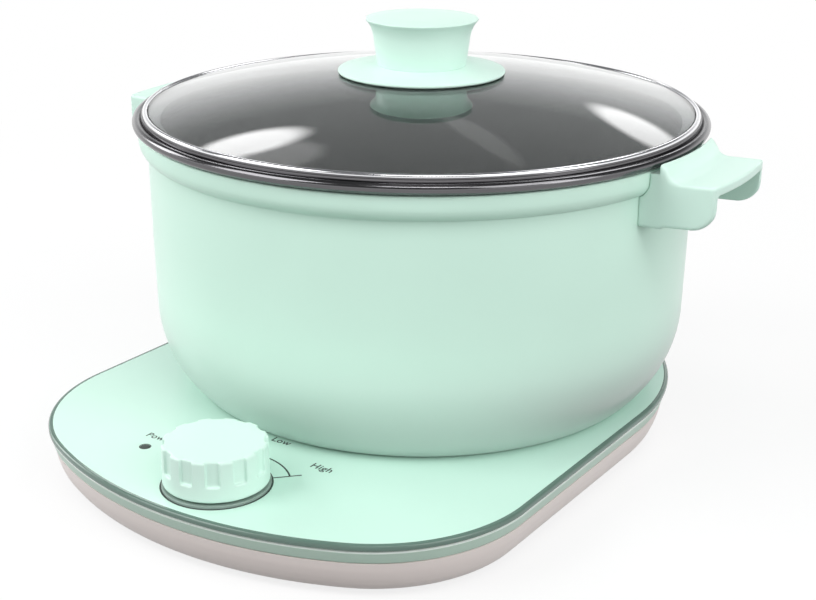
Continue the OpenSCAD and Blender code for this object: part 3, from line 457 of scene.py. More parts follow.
def soft_line(corners, closed=False, steps=6):
    """Points along a line whose corners (r, z, radius) are rounded, as far as their sides allow."""
    flat = [np.array(c[:2], float) for c in corners]
    count, out = len(corners), []
    for i, corner in enumerate(corners):
        radius = corner[2] if len(corner) > 2 else 0
        if not radius or (not closed and i in (0, count - 1)):
            out.append(flat[i])
            continue
        a, b = flat[i - 1] - flat[i], flat[(i + 1) % count] - flat[i]
        la, lb = np.linalg.norm(a), np.linalg.norm(b)
        a, b = a / la, b / lb
        half = 0.5 * math.acos(max(-1, min(1, float(a @ b))))
        if half > STRAIGHT:
            out.append(flat[i])
            continue
        run = min(radius / math.tan(half), SIDE_SHARE * la, SIDE_SHARE * lb)
        radius = run * math.tan(half)
        middle = flat[i] + (a + b) / np.linalg.norm(a + b) * radius / math.sin(half)
        p, q = flat[i] + a * run - middle, flat[i] + b * run - middle
        sweep = math.atan2(p[0] * q[1] - p[1] * q[0], p @ q)
        for k in range(steps + 1):
            t = sweep * k / steps
            out.append(middle + np.array([p[0] * math.cos(t) - p[1] * math.sin(t),
                                          p[0] * math.sin(t) + p[1] * math.cos(t)]))
    return np.array(out)


def smooth_run(points, steps=6):
    """A smooth curve through points, for a side that bulges."""
    p = np.array(points, float)
    p = np.vstack([2 * p[0] - p[1], p, 2 * p[-1] - p[-2]])
    out = []
    for i in range(1, len(p) - 2):
        for k in range(steps):
            t = k / steps
            out.append(0.5 * (2 * p[i] + (p[i + 1] - p[i - 1]) * t
                              + (2 * p[i - 1] - 5 * p[i] + 4 * p[i + 1] - p[i + 2]) * t * t
                              + (3 * p[i] - 3 * p[i + 1] + p[i + 2] - p[i - 1]) * t ** 3))
    out.append(p[-2])
    return out


def arc(cx, cz, r, a, b, n):
    """Points along an arc between two angles in degrees."""
    turns = [math.radians(a + (b - a) * i / n) for i in range(n + 1)]
    return [(cx + r * math.cos(t), cz + r * math.sin(t)) for t in turns]


def circle(x, y, r, n=48):
    """n points round a circle."""
    return arc(x, y, r, 0, 360 - 360 / n, n - 1)


def walls(n, rings, closed=False):
    """Quads between rings of n points each, one ring after another."""
    return [(k * n + i, k * n + (i + 1) % n, (k + 1) % rings * n + (i + 1) % n, (k + 1) % rings * n + i)
            for k in range(rings if closed else rings - 1) for i in range(n)]


def grown(piece, tree, **inputs):
    """The piece as a tree makes it, as plain mesh. An input is set by its socket's identifier, not its name."""
    modifier = piece.modifiers.new(tree.name, "NODES")
    modifier.node_group = tree
    for item in tree.interface.items_tree:
        if item.item_type == "SOCKET" and item.in_out == "INPUT" and item.name in inputs:
            modifier[item.identifier] = inputs[item.name]
    return applied(piece)


# ---- Turned pieces: one Geometry Nodes tree turns a section about an axis ------------------------

def build_turning(nodes, links, take, give):
    """Turns a section wire, radius along X and height along Z, about Z."""
    where, apart, join, less, down = new_nodes(
        nodes, "GeometryNodeInputPosition", "ShaderNodeSeparateXYZ", "ShaderNodeCombineXYZ", "ShaderNodeMath",
        "ShaderNodeMath")
    lay, wire, path = new_nodes(nodes, "GeometryNodeSetPosition", "GeometryNodeMeshToCurve",
                                "GeometryNodeCurvePrimitiveCircle")
    turn, merge, dress = new_nodes(nodes, "GeometryNodeCurveToMesh", "GeometryNodeMergeByDistance",
                                   "GeometryNodeSetMaterial")
    less.operation, down.operation = "SUBTRACT", "MULTIPLY"
    down.inputs[1].default_value = -1
    preset(merge, Distance=TURN_WELD)
    link_up(links, (where.outputs[0], apart.inputs[0]), (apart.outputs["X"], less.inputs[0]),
            (take["Lathe radius"], less.inputs[1]), (apart.outputs["Z"], down.inputs[0]),
            (less.outputs[0], join.inputs["X"]), (down.outputs[0], join.inputs["Y"]),
            (take["Section"], lay.inputs["Geometry"]), (join.outputs[0], lay.inputs["Position"]),
            (lay.outputs[0], wire.inputs[0]), (take["Turns"], path.inputs["Resolution"]),
            (take["Lathe radius"], path.inputs["Radius"]), (path.outputs["Curve"], turn.inputs["Curve"]),
            (wire.outputs[0], turn.inputs["Profile Curve"]), (turn.outputs[0], merge.inputs["Geometry"]),
            (merge.outputs[0], dress.inputs["Geometry"]), (take["Finish"], dress.inputs["Material"]),
            (dress.outputs[0], give["Turned"]))


TURNING = add_group(
    "GeometryNodeTree", "turned_section",
    [("Section", "NodeSocketGeometry"), ("Turns", "NodeSocketInt", 160), ("Lathe radius", "NodeSocketFloat", 0.2),
     ("Finish", "NodeSocketMaterial")],
    [("Turned", "NodeSocketGeometry")], build_turning)


def turned(name, section, mat, closed=False, turns=160, sharp=38):
    """A piece turned about Z from a section of (radius, height) points in millimetres."""
    points = [(max(0.0, float(r)) * MM, 0, float(z) * MM) for r, z in section]
    edges = [(i, i + 1) for i in range(len(points) - 1)] + ([(len(points) - 1, 0)] if closed else [])
    me = bpy.data.meshes.new(name)
    me.from_pydata(points, edges, [])
    piece = grown(in_scene(name, me), TURNING, Turns=turns, Finish=mat)
    tidy_mesh(piece.data, sharp)
    return piece


# ---- Pieces set in several places: one tree puts a copy of a piece at each point -----------------

def build_setting(nodes, links, take, give):
    """Copies of one piece at the points of a mesh, each turned by its "way"."""
    source, way, align = new_nodes(nodes, "GeometryNodeObjectInfo", "GeometryNodeInputNamedAttribute",
                                   "FunctionNodeAlignRotationToVector")
    copies, real, dress = new_nodes(nodes, "GeometryNodeInstanceOnPoints", "GeometryNodeRealizeInstances",
                                    "GeometryNodeSetMaterial")
    way.data_type, align.axis = "FLOAT_VECTOR", "Z"
    preset(way, Name="way")
    link_up(links, (take["Piece"], source.inputs["Object"]), (way.outputs["Attribute"], align.inputs["Vector"]),
            (take["Places"], copies.inputs["Points"]), (source.outputs["Geometry"], copies.inputs["Instance"]),
            (align.outputs["Rotation"], copies.inputs["Rotation"]), (take["Size"], copies.inputs["Scale"]),
            (copies.outputs[0], real.inputs[0]), (real.outputs[0], dress.inputs["Geometry"]),
            (take["Finish"], dress.inputs["Material"]), (dress.outputs[0], give["Set"]))


SETTING = add_group(
    "GeometryNodeTree", "set_in_places",
    [("Places", "NodeSocketGeometry"), ("Piece", "NodeSocketObject"), ("Size", "NodeSocketFloat", 1.0),
     ("Finish", "NodeSocketMaterial")],
    [("Set", "NodeSocketGeometry")], build_setting)


def set_in_places(name, source, places, ways, mat):
    """Copies of source at places in millimetres, its +Z turned to each way. The source is removed."""
    me = bpy.data.meshes.new(name)
    me.from_pydata([(x * MM, y * MM, z * MM) for x, y, z in places], [], [])
    way = me.attributes.new("way", "FLOAT_VECTOR", "POINT")
    way.data.foreach_set("vector", np.array(ways, np.float32).ravel())
    piece = grown(in_scene(name, me), SETTING, Piece=source, Finish=mat)
    bpy.data.objects.remove(source)
    tidy_mesh(piece.data, 38)
    return piece


# ---- Skins: smooth closed meshes on the zero level of a distance function ------------------------

def smooth_max(a, b, k):
    h = np.clip(0.5 + 0.5 * (a - b) / k, 0, 1)
    return b + (a - b) * h + k * h * (1 - h)


def smooth_min(a, b, k):
    return -smooth_max(-a, -b, k)


def block(x, y, z, low, high):
    """Distance to an upright box."""
    outside = [np.maximum(lo - v, v - hi) for v, lo, hi in zip((x, y, z), low, high)]
    far = np.sqrt(sum(np.maximum(v, 0) ** 2 for v in outside))
    return far + np.minimum(np.maximum(np.maximum(outside[0], outside[1]), outside[2]), 0)


def skin(distance, low, high, step, relax=3):
    """Points and quads on distance(x, y, z) = 0 inside a box, all in millimetres."""
    axes = [np.arange(a, b + step, step) for a, b in zip(low, high)]
    level = distance(*np.meshgrid(*axes, indexing="ij"))
    inner = level < 0
    cells = [slice(None, -1), slice(1, None)]
    within = sum(inner[i, j, k].astype(int) for i in cells for j in cells for k in cells)
    active = (within > 0) & (within < 8)
    number = np.full(active.shape, -1)
    number[active] = np.arange(active.sum())
    points = np.stack([axes[n][index] + step / 2 for n, index in enumerate(np.nonzero(active))], 1)
    quads = []
    for n in range(3):
        turn = [n, (n + 1) % 3, (n + 2) % 3]
        grid, ids = np.transpose(inner, turn), np.transpose(number, turn)
        crossed = grid[:-1, 1:-1, 1:-1] != grid[1:, 1:-1, 1:-1]
        i, j, k = np.nonzero(crossed)
        quad = np.stack([ids[i, j, k], ids[i, j + 1, k], ids[i, j + 1, k + 1], ids[i, j, k + 1]], 1)
        quads.append(np.where(grid[:-1, 1:-1, 1:-1][crossed][:, None], quad, quad[:, ::-1]))
    quads = np.concatenate(quads)

    def pulled(p):
        for _ in range(3):
            f = distance(*p.T)
            slope = np.stack([distance(*(p + d).T) - distance(*(p - d).T)
                              for d in np.eye(3) * 0.02], 1) / 0.04
            p = p - slope * (f / np.maximum((slope ** 2).sum(1), 0.25))[:, None].clip(-step, step)
        return p

    points = pulled(points)
    for _ in range(relax):
        total, count = np.zeros_like(points), np.zeros(len(points))
        for a in range(4):
            for b in (1, 3):
                np.add.at(total, quads[:, a], points[quads[:, (a + b) % 4]])
                np.add.at(count, quads[:, a], 1)
        points = pulled(0.5 * points + 0.5 * total / np.maximum(count, 1)[:, None])
    return points, quads.tolist()


# ---- Base ---------------------------------------------------------------------------------------

def base_outline(inset, spacing=2.2):
    """The base's outline moved in by inset, anticlockwise from the left end of the bowed front."""
    def run(centre, r, a, b):
        n = max(6, int((BOW_R if r > 150 else r + inset) * abs(b - a) / spacing))
        t = a + (b - a) * np.arange(n) / n
        return np.stack([centre[0] + r * np.cos(t), centre[1] + r * np.sin(t)], 1)
    down = -math.pi / 2
    return np.concatenate([
        run((0, BOW_Y), BOW_R - inset, down - CORNER_A, down + CORNER_A),
        run((CORNER_X, CORNER_Y), CORNER_R - inset, down + CORNER_A, 0),
        np.array([[BASE_W / 2 - inset, CORNER_Y + (REAR - CORNER_Y) * t] for t in (0, 0.5)]),
        run((0, REAR), BASE_W / 2 - inset, 0, math.pi),
        np.array([[inset - BASE_W / 2, REAR + (CORNER_Y - REAR) * t] for t in (0, 0.5)]),
        run((-CORNER_X, CORNER_Y), CORNER_R - inset, math.pi, 1.5 * math.pi - CORNER_A)])


def loft(name, line, mats, closed=False, sharp=35):
    """A piece on the base's outline, its side given by (inset, z) points."""
    rings = [base_outline(inset) for inset, _ in line]
    n = len(rings[0])
    points = np.concatenate([np.column_stack([ring, np.full(n, z)]) for ring, (_, z) in zip(rings, line)])
    faces = walls(n, len(line), closed)
    if not closed:
        faces += [tuple(range(n))[::-1], tuple(range((len(line) - 1) * n, len(line) * n))]
    return mesh(name, points, faces, mats, sharp)


def cut(piece, cutters, sharp=35):
    """Cuts the joined cutters out of a piece."""
    modifier = piece.modifiers.new("cut", "BOOLEAN")
    modifier.operation, modifier.solver, modifier.object = "DIFFERENCE", "EXACT", cutters
    bpy.context.view_layer.update()
    applied(piece)
    bpy.data.objects.remove(cutters)
    piece.data.shade_smooth()
    piece.data.set_sharp_from_angle(angle=math.radians(sharp))
    return piece


def prism(ring, z0, z1):
    """Points and faces of an upright prism on a ring of (x, y) points."""
    n = len(ring)
    points = [(x, y, z) for z in (z0, z1) for x, y in ring]
    return points, [tuple(range(n))[::-1], tuple(range(n, 2 * n)), *walls(n, 2)]


def joined(parts):
    points, faces = [], []
    for p, f in parts:
        faces += [tuple(i + len(points) for i in face) for face in f]
        points += list(p)
    return points, faces


def round_slot(x, y0, y1, half, n=8):
    """The outline of a slot along Y with round ends."""
    return arc(x, y1 - half, half, 0, 180, n) + arc(x, y0 + half, half, 180, 360, n)


EDGE_LOW, EDGE_TOP, EDGE_BAND = 0.45, 1.3, 2.2      # the plate's two bevels, and the dark band inside them


def make_plate():
    """The glass cooking plate: a flat top with a dark ground edge, and holes for the dial and the lens."""
    line = list(soft_line([(9, PLATE_Z), (0, PLATE_Z, EDGE_LOW), (0, BASE_H, EDGE_TOP), (9, BASE_H)], steps=5))
    line.insert(-1, (EDGE_BAND, BASE_H))
    plate = loft("cooking_plate", line, [PLATE_MINT, PLATE_EDGE], sharp=50)
    rings = len(line) - 1
    flat_top = (len(plate.data.polygons) - 2) // rings * (rings - 1)
    for face in plate.data.polygons:
        if face.normal.z < 0.997 or face.index < flat_top:
            face.material_index = 1
    holes = joined([prism(circle(*at, r), 20, 40) for at, r in ((DIAL, HOLE_R), (LENS, LENS_R + 0.05))])
    cut(plate, mesh("plate_holes", *holes, []), 50)
    settle(plate, "base", "plate_glass", "glass_plate")


def make_seal():
    line = [(1.4, LEDGE_Z), (1.4, PLATE_Z), (7.4, PLATE_Z), (7.4, LEDGE_Z)]
    settle(loft("plate_rim_seal", line, [PALE_SEAL_AND_HIGHLIGHT], closed=True), "base", "seal_rubber", "plate_seal")


def shell_side(z0, z1):
    """The shells' outer side between two heights, as (inset, z)."""
    line = [(12, COVER_Z), (9.6, COVER_Z + 0.6), (7.6, COVER_Z + 2), (5.8, COVER_Z + 4.5), (4.3, COVER_Z + 8),
            (3.1, COVER_Z + 12), (2.3, SEAM_Z), (1.4, SEAM_Z + 3), (0.7, LEDGE_Z - 0.8)]
    z, inset = [p[1] for p in line], [p[0] for p in line]
    heights = [z0, *np.linspace(z0, z1, 15)[1:-1], z1]
    return [(float(np.interp(h, z, inset)), float(h)) for h in heights]


def make_upper_shell():
    """The mint band under the plate, with the ledge that carries it. Its pale top lip is a painted highlight."""
    seam = SEAM_Z + 0.3
    side = shell_side(seam, LEDGE_Z - 0.9)
    outer = [(side[0][0] + 0.35, seam)] + [(side[0][0] + 0.1, seam + 0.1)] + side[1:]
    outer += [(0.72, LEDGE_Z - 0.5), (0.95, LEDGE_Z - 0.15), (1.25, LEDGE_Z)]
    inner = [(16, LEDGE_Z), (16, LEDGE_Z - 2), (2.9, LEDGE_Z - 2), (side[0][0] + WALL, seam)]
    shell = loft("upper_shell", outer + inner, [MINT_SHELL, PALE_SEAL_AND_HIGHLIGHT], closed=True)
    # The top lip's faces take the pale seal's colour: a painted highlight, a thin light line under the plate's
    # edge.
    for face in shell.data.polygons:
        if face.center.z / MM > LEDGE_Z - 0.72:
            face.material_index = 1
    settle(shell, "base", "upper_shell", "upper_casing")


def underside_places():
    """Where the feet and the cover screws sit, from the pot's axis."""
    def rear(angle, inset):
        t = math.radians(angle)
        return (BASE_W / 2 - inset) * math.cos(t), REAR + (BASE_W / 2 - inset) * math.sin(t)

    def bow(angle, inset):
        t = math.radians(angle)
        return (BOW_R - inset) * math.sin(t), BOW_Y - (BOW_R - inset) * math.cos(t)

    reach = (CORNER_R - FOOT_IN) * math.sqrt(0.5)
    feet = [rear(45, FOOT_IN), rear(135, FOOT_IN), (CORNER_X + reach, CORNER_Y - reach),
            (-CORNER_X - reach, CORNER_Y - reach)]
    side = (BASE_W / 2 - SCREW_IN, CORNER_Y + 38)
    screws = [rear(62, SCREW_IN), rear(118, SCREW_IN), side, (-side[0], side[1]),
              bow(24, SCREW_IN), bow(-24, SCREW_IN)]
    return feet, screws


FEET, SCREWS = underside_places()


def make_lower_shell():
    """The warm pale tray, cut by the air slots, the screw wells and the cord gland's hole."""
    side = shell_side(COVER_Z, SEAM_Z - 0.1)
    inside = [(inset + WALL, z) for inset, z in shell_side(COVER_Z + WALL, SEAM_Z)]
    outer = [(26, COVER_Z), (14, COVER_Z)] + smooth_run(side[:5], 3)[:-1] + side[4:]
    outer += [(side[-1][0] + 0.3, SEAM_Z)]
    line = outer + inside[::-1] + [(30, COVER_Z + WALL)]
    tray = loft("lower_shell", line, [WARM_SHELL], sharp=40)
    slots = []
    for i in range(-3, 4):
        half = math.sqrt(FAN_R ** 2 - (FAN_PITCH * i) ** 2) - 2 * SLOT_HALF
        slots.append(prism(round_slot(FAN[0] + FAN_PITCH * i, FAN[1] - half, FAN[1] + half, SLOT_HALF), 0, 6))
    for i in range(-6, 7):
        slots.append(prism(round_slot(EXHAUST_PITCH * i, EXHAUST_Y, EXHAUST_Y + EXHAUST_LONG, SLOT_HALF), 0, 6))
    wells = [prism(circle(*p, 3.4, 24), 0, COVER_Z + 1.6) for p in SCREWS]
    upright, faces = prism(circle(0, GLAND_Z, 5.4), 110, 140)
    bore = ([(x, y, z) for x, z, y in upright], faces)
    cut(tray, mesh("tray_cutters", *joined(slots + wells + [bore]), []), 40)
    settle(tray, "base", "lower_shell", "bottom_cover")


def make_feet():
    line = soft_line([(0, 0), (FOOT_R - 1.6, 0), (FOOT_R, 0.9, 0.8), (FOOT_R, FOOT_H), (0, FOOT_H)])
    foot = turned("foot", line, RUBBER, turns=48)
    feet = set_in_places("feet", foot, [(x, y, 0) for x, y in FEET], [(0, 0, 1)] * 4, RUBBER)
    settle(feet, "base", "foot_rubber", "rubber_feet")


def screw_shape(head_r, head_h, shank_r, length):
    """A pan-head screw with a cross recess: its seat is at z = 0 and its head up."""
    head = soft_line([(0, head_h), (head_r * 0.55, head_h * 0.98), (head_r, head_h * 0.45, head_r * 0.4),
                      (head_r, 0), (shank_r, 0), (shank_r, -length), (0, -length)], steps=4)
    piece = turned("screw", head, STEEL, turns=36)
    for x, y in ((head_r * 0.6, head_r * 0.14), (head_r * 0.14, head_r * 0.6)):
        bar = prism([(-x, -y), (x, -y), (x, y), (-x, y)], head_h * 0.45, head_h * 2)
        cut(piece, mesh("recess", *bar, []), 30)
    return piece


def make_cover_screws():
    places = [(x, y, COVER_Z + 3) for x, y in SCREWS]
    screws = set_in_places("cover_screw_set", screw_shape(2.8, 1.5, 1.25, 11), places, [(0, 0, -1)] * 6, STEEL)
    settle(screws, "base", "screw_steel", "cover_screws")


def make_gland():
    """The round inlet that a cord would come through, at the back."""
    line = soft_line([(3.5, GLAND_OUT, 0.4), (3.5, GLAND_IN - 2, 0.3), (6.4, GLAND_IN - 2, 0.5),
                      (6.4, GLAND_IN, 0.3), (5.35, GLAND_IN), (5.35, GLAND_OUT, 0.9)], closed=True, steps=4)
    gland = turned("cord_inlet", line, DARK_PLASTIC, closed=True, turns=64)
    gland.data.transform(Matrix.Rotation(-math.pi / 2, 4, "X"))
    moved(gland, 0, 0, GLAND_Z)
    settle(gland, "base", "foot_rubber", "cord_gland")


# ---- Dial and its marks -------------------------------------------------------------------------

def dial_distance(x, y, z):
    """Distance to the dial: a drum with twelve flutes that stop above a plain skirt."""
    r, flat_r = np.hypot(x, y), DIAL_R - DIAL_ROUND
    side, low, high = flat_r - DIAL_DRAFT * z, DIAL_GAP + DIAL_ROUND, DIAL_GAP + DIAL_H - DIAL_ROUND
    drum = np.maximum(r - side, np.maximum(low - z, z - high))
    above, below = (np.maximum(r - side, 0) ** 2 + np.maximum(v, 0) ** 2 for v in (z - high, low - z))
    drum = np.where(drum > 0, np.sqrt(np.maximum(above, below)), drum) - DIAL_ROUND
    pitch = 2 * math.pi / FLUTES
    turn = np.arctan2(y, x) - math.radians(8)
    turn = turn - pitch * np.round(turn / pitch)
    out, across = r * np.cos(turn), r * np.sin(turn)
    flute = block(out, across, z, (flat_r, -FLUTE_HALF, DIAL_GAP + FLUTE_FOOT), (DIAL_R + 9, FLUTE_HALF, 60))
    return smooth_max(drum, 0.7 - flute, 0.7)


def make_dial():
    points, faces = skin(dial_distance, (-25, -25, 1), (25, 25, 22.5), 0.5)
    dial = mesh("dial_cap", points + [DIAL[0], DIAL[1], BASE_H], faces, [PALE_MINT], 80)
    settle(dial, "dial", "grip_plastic", "dial_knob")


def make_dial_collar():
    line = soft_line([(12, 0.02), (DIAL_R + 0.5, 0.02), (DIAL_R + 0.5, 1.3, 0.35), (12, 1.3)], closed=True)
    collar = turned("dial_collar", line + [0, BASE_H], COLLAR_GREY, closed=True, turns=128)
    moved(collar, *DIAL)
    settle(collar, "base", "ring_plastic", "dial_ring")


def make_lens():
    line = soft_line([(0, PLATE_Z - 1.4), (LENS_R + 1, PLATE_Z - 1.4), (LENS_R + 1, PLATE_Z),
                      (LENS_R, PLATE_Z), (LENS_R, BASE_H, 0.2), (0, BASE_H)], steps=4)
    lens = turned("indicator_cap", line, LENS_GREY, turns=64)
    moved(lens, *LENS)
    settle(lens, "base", "lens_plastic", "indicator_lens")


def dark_plate_ring(x, y, inner, outer, n=144):
    """A flat dark ring on the plate, as points and faces."""
    rings = ((inner, MARK_LOW), (outer, MARK_LOW), (outer, MARK_TOP), (inner, MARK_TOP))
    return [(px, py, z) for r, z in rings for px, py in circle(x, y, r, n)], walls(n, 4, True)


def word(text, x, y, height):
    """A printed word, as points and faces: its lower left corner is at x, y from the dial."""
    data = bpy.data.curves.new("word", "FONT")
    data.body, data.size = text, height * 1.42
    data.space_character = 1.05
    data.offset = 0.07
    letters = in_scene("word", data)
    bpy.context.view_layer.update()
    bm = bmesh.new()
    bm.from_mesh(plain_mesh(letters))
    bmesh.ops.triangulate(bm, faces=bm.faces)
    flat = [v.co.copy() for v in bm.verts]
    sides = [tuple(v.index for v in f.verts) for f in bm.faces]
    rims = [tuple(v.index for v in e.verts) for e in bm.edges if len(e.link_faces) == 1]
    bm.free()
    bpy.data.objects.remove(letters)
    n = len(flat)
    points = [(x + v.x, y + v.y, z) for z in (MARK_LOW, MARK_TOP) for v in flat]
    faces = [s[::-1] for s in sides] + [tuple(i + n for i in s) for s in sides]
    return points, faces + [(a, b, n + b, n + a) for a, b in rims]


HEAT_R, HEAT_END, HEAT_TO = 32, 46.6, 97        # the heat arc: its radius and its ends in degrees
END_FROM, END_TO, STROKE = 24.6, 37.3, 0.4      # the radii of the line at its end, and half a stroke
WORDS = (("Power", -59.1, 17.5, 4.0), ("Low", -8.2, 46.9, 4.0), ("High", 23.0, 35.8, 4.2))


def make_dial_marks():
    """Generic marks on the plate: a painted shade ring round the dial, a ring round the lens, the heat arc and its
    end, the words.
    """
    end = math.radians(HEAT_END)
    tip = [(r * math.cos(end), r * math.sin(end)) for r in (END_FROM, END_TO)]
    side = (STROKE * math.sin(end), -STROKE * math.cos(end))
    line = [(p[0] + s * side[0], p[1] + s * side[1]) for s, pair in ((1, tip), (-1, tip[::-1])) for p in pair]
    heat = arc(0, 0, HEAT_R + STROKE, HEAT_END, HEAT_TO, 40) + arc(0, 0, HEAT_R - STROKE, HEAT_TO, HEAT_END, 40)
    parts = [prism(ring, MARK_LOW, MARK_TOP) for ring in (heat, line)]
    # The dark ring round the dial is painted shade for the gap at the dial collar's edge.
    parts += [dark_plate_ring(0, 0, DIAL_R + 0.4, DIAL_R + 1.3), dark_plate_ring(*LENS_OFF, LENS_R + 0.06, LENS_R + 0.5)]
    parts += [word(*text) for text in WORDS]
    marks = mesh("dial_marks", *joined(parts), [PRINT_AND_GAP_SHADE])
    moved(marks, *DIAL)
    settle(marks, "base", "ring_plastic")


# ---- Pot ----------------------------------------------------------------------------------------

def pot_outer():
    """The pot's outer side from its flat bottom up to the rim."""
    edge_end = POT_R - CORNER_ARC * (1 - math.cos(BEND))
    side = arc(edge_end - EDGE_ARC * math.cos(BEND), BASE_H + EDGE_ARC, EDGE_ARC, -90, -45, 6)
    side += arc(POT_R - CORNER_ARC, POT_CORNER_Z, CORNER_ARC, -41, 0, 20)
    side += [(WALL_R - 0.3, POT_CORNER_Z + (COLLAR_Z - POT_CORNER_Z) * 0.5), (WALL_R, COLLAR_Z - 3)]
    collar = [(WALL_R + 0.1, RIM_Z - 11.7), (WALL_R + 1.7, RIM_Z - 10.8), (WALL_R + 3.2, RIM_Z - 8.9),
              (COLLAR_R - 0.3, RIM_Z - 6.9), (COLLAR_R, RIM_Z - 5.0)]
    return side + [(WALL_R, RIM_Z - 12.0)] + smooth_run(collar, 5) + [(COLLAR_R, RIM_Z - 3)]


def make_pot():
    inner_r, floor_z = CORNER_ARC - POT_T, BASE_H + POT_FLOOR
    low = math.degrees(math.asin((POT_CORNER_Z - floor_z) / inner_r))
    rim = soft_line([(COLLAR_R, RIM_Z - 3), (COLLAR_R, RIM_Z, 1.0), (MOUTH_R, RIM_Z, 1.2),
                     (MOUTH_R, COLLAR_Z - 3)]).tolist()
    line = [(0, BASE_H + DISC_IN), (DISC_R, BASE_H + DISC_IN), (DISC_R, BASE_H)] + pot_outer() + rim
    line += arc(POT_R - CORNER_ARC, POT_CORNER_Z, inner_r, 0, -low, 16) + [(0, floor_z)]
    pot = turned("pot_wall", line, MINT_COAT, turns=240, sharp=50)
    pot.data.materials.append(POT_LINING)
    for face in pot.data.polygons:
        middle = face.center / MM
        r, depth = math.hypot(middle.x, middle.y), max(POT_CORNER_Z - middle.z, 0)
        in_corner = math.hypot(max(r - POT_R + CORNER_ARC, 0), depth) < CORNER_ARC - POT_T / 2
        if r < MOUTH_R + 0.35 and middle.z > floor_z - 0.5 and (in_corner or not depth):
            face.material_index = 1
    settle(pot, "pot", "pot_enamel", "pot_body")


COLLAR_SIDE = np.array(pot_outer()[-24:])


def handle_distance(x, y, z):
    """Distance to a grip along X: a top over a skirt and a back block, and a low wall round the lid."""
    r = np.hypot(x, y)
    root, outer, bottom = WALL_R - 4, HANDLE_R - 1.8, RIM_Z - HANDLE_DROP
    top = GRIP_Z + GRIP_RISE * (x - root) / (HANDLE_R + 1 - root)
    low = bottom + 1.5 * np.clip((x - root) / (outer - SKIRT_ROUND - root), 0, 1)
    corner = np.hypot(np.maximum(x - (outer - SKIRT_ROUND), 0), np.maximum(low + SKIRT_ROUND - z, 0))
    skirt = np.maximum(np.maximum(corner - SKIRT_ROUND, low - z), x - outer)
    skirt = smooth_max(skirt, HANDLE_HALF - SKIRT_T - np.abs(y), 0.8)
    back = smooth_max(x - (COLLAR_R + 3.4), bottom - z, 0.8)
    solid = smooth_min(smooth_min(top - GRIP_T - z, skirt, 2.0), back, 2.4)
    slope = 0.9 * np.maximum(r - POCKET_R - 0.6, 0)
    wall = smooth_max(r - UPSTAND_R, z - UPSTAND_Z + slope, 2.2)
    over = smooth_min(z - top, wall, 7.0)
    solid = smooth_max(smooth_max(solid, r - HANDLE_R, 1.0), over, 1.2)
    solid = smooth_max(np.maximum(solid, root - 6 - x), np.abs(y) - HANDLE_HALF, 1.7)
    collar = np.interp(z, COLLAR_SIDE[:, 1], COLLAR_SIDE[:, 0]) + 0.15
    against = np.where(z < RIM_Z - 0.5, collar, POCKET_R)
    return smooth_max(solid, against - r, 0.5)


def make_handles():
    points, faces = skin(handle_distance, (127, -31, 130), (169, 31, 163), 0.55)
    places = [(s * (COLLAR_R + 3.45), y, RIM_Z - 17) for s in (-1, 1) for y in (-12, 12)]
    ways = [(s, 0, 0) for s in (-1, 1) for _ in range(2)]
    screws = set_in_places("grip_screw_set", screw_shape(3.4, 1.8, 1.9, 7), places, ways, STEEL)
    right, left = (mesh(name, points, faces, [PALE_MINT], 80) for name in ("right_grip", "left_grip"))
    for piece, turn in ((right, POT_TURN), (left, POT_TURN + math.pi), (screws, POT_TURN)):
        piece.data.transform(Matrix.Rotation(turn, 4, "Z"))
    settle(right, "pot", "grip_plastic", "right_handle")
    settle(left, "pot", "grip_plastic", "left_handle")
    settle(screws, "pot", "screw_steel", "handle_screws")


# ---- Lid ----------------------------------------------------------------------------------------

def dome_z(r):
    return DOME_TOP - DOME_R + math.sqrt(DOME_R ** 2 - r ** 2)


def make_lid_glass():
    radii = [3.0 + (GLASS_R - 0.6 - 3.0) * i / 40 for i in range(41)]
    top = [(r, dome_z(r)) for r in radii]
    under = [(r, dome_z(r) - GLASS_T) for r in radii[::-1]]
    edge = dome_z(GLASS_R)
    line = top + arc(GLASS_R - 1.2, edge - 1.2, 1.2, 60, 0, 3) + [(GLASS_R, edge - 3)] + under
    dome = turned("lid_dome", line, LID_GLASS, closed=True, turns=240, sharp=50)
    settle(dome, "lid", "lid_glass", "glass_lid")


def make_lid_ring():
    """The rolled rim: a plug into the pot's mouth, a broad outer bead, a groove and a thin bead on the glass,
    lighter as a painted highlight.
    """
    plug, edge = MOUTH_R - 0.8, dome_z(GLASS_R)
    outer = arc(RING_R - 2.3, RING_Z + 3.0, 2.3, -70, 150, 16)
    groove = [(GLASS_R + 3.2, RING_Z + 5.0), (GLASS_R + 2.9, RING_Z + 6.3), (GLASS_R + 2.5, RING_Z + 6.4)]
    inner = arc(GLASS_R + 1.0, RING_TOP - 1.3, 1.3, 0, 170, 12)
    line = soft_line([(plug - 3.4, RING_Z + 1, 0.4), (plug - 3.4, RING_Z - 4.4, 0.5),
                      (plug - 2.9, RING_Z - 5.3, 0.5), (plug - 0.5, RING_Z - 5.3, 0.8), (plug, RING_Z - 0.1),
                      (RING_R - 3.5, RING_Z + 0.05)]).tolist()
    line += outer + groove + inner + [(GLASS_R + 0.05, edge - 0.2), (GLASS_R + 0.05, edge - 4.1)]
    ring = turned("lid_rim", line, DARK_CHROME, closed=True, turns=240)
    ring.data.materials.append(PAINTED_HIGHLIGHT_CHROME)
    # The thin bead's top gets the lighter chrome: a painted highlight along the glass edge.
    for face in ring.data.polygons:
        middle = face.center / MM
        if math.hypot(middle.x, middle.y) < GLASS_R + 2.35 and middle.z > RING_TOP - 1.6:
            face.material_index = 1
    settle(ring, "lid", "rim_steel", "rim_ring")


KNOB_BORE, KNOB_LIFT = 3.2, 0.5     # the flange's hole, and its gap to the glass


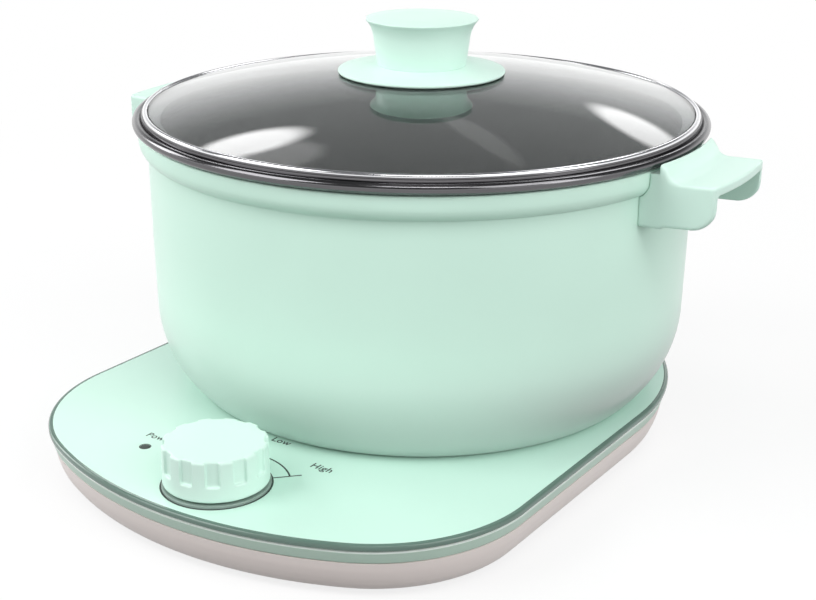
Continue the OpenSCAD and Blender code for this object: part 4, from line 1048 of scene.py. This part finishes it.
def make_knob():
    edge = dome_z(FLANGE_R) + KNOB_LIFT
    radii = [KNOB_BORE + (FLANGE_R - 3.6) * i / 12 for i in range(13)]
    line = [(r, dome_z(r) + KNOB_LIFT) for r in radii]
    line += soft_line([(FLANGE_R - 0.4, edge), (FLANGE_R, edge + 0.5, 0.3), (FLANGE_R - 0.1, edge + 1.3, 0.5),
                       (STEM_R + 5, KNOB_Z - 0.75, 6), (STEM_R + 0.4, KNOB_Z - 0.05)], steps=5).tolist()
    line += [(KNOB_BORE, KNOB_Z - 0.05)]
    flange = turned("knob_plate", line, PALE_MINT, closed=True)
    settle(flange, "lid", "grip_plastic", "knob_flange")
    top = KNOB_Z + KNOB_H
    side = smooth_run([(STEM_R, KNOB_Z), (STEM_R + 0.9, top - 16), (STEM_R + 1.8, top - 9),
                       (STEM_R + 2.6, top - 5.5), (KNOB_R - 1.9, top - 2.6), (KNOB_R - 0.3, top - 0.6)], 5)
    crown = soft_line([(KNOB_R - 0.3, top - 0.6), (KNOB_R, top + 0.2, 0.5), (KNOB_R * 0.6, top + 1.1, 8),
                       (0, top + 1.4)], steps=5).tolist()
    head = turned("knob_head", [(0, KNOB_Z)] + side + crown[1:], PALE_MINT)
    settle(head, "lid", "grip_plastic", "knob_grip")


# ---- CAD pieces that stay -----------------------------------------------------------------------

CAD_LOOKS = (
    (CERAMIC, "coil_former sensor_holder indicator_led terminal_block"),
    (STEEL, "coil_screws board_screws fan_screws control_screws dial_shaft knob_washer knob_screw"),
    (DARK_PLASTIC, "fan_frame fan_rotor knob_gasket"), (BOARD, "main_board control_board"),
    (ALUMINIUM, "heat_sink dial_potentiometer"), (CAPACITOR, "filter_capacitors"), (COPPER, "induction_coil"),
    (FERRITE, "ferrite_bars"), (PALE_SEAL_AND_HIGHLIGHT, "sensor_pad"), (DISC_STEEL, "pot_base_disc"), (BRASS, "knob_insert"))


def dress_cad_pieces():
    for mat, names in CAD_LOOKS:
        for name in names.split():
            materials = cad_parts[name].data.materials
            materials.clear()
            materials.append(mat)


# ---- All of it ----------------------------------------------------------------------------------

scene.view_settings.view_transform = "Standard"
set_camera()
set_world()
add_floor()
for lamp in LAMPS:
    add_softbox(*lamp)

for make in (make_plate, make_seal, make_upper_shell, make_lower_shell, make_feet, make_cover_screws, make_gland,
             make_dial, make_dial_collar, make_lens, make_dial_marks, make_pot, make_handles, make_lid_glass,
             make_lid_ring, make_knob, dress_cad_pieces):
    make()
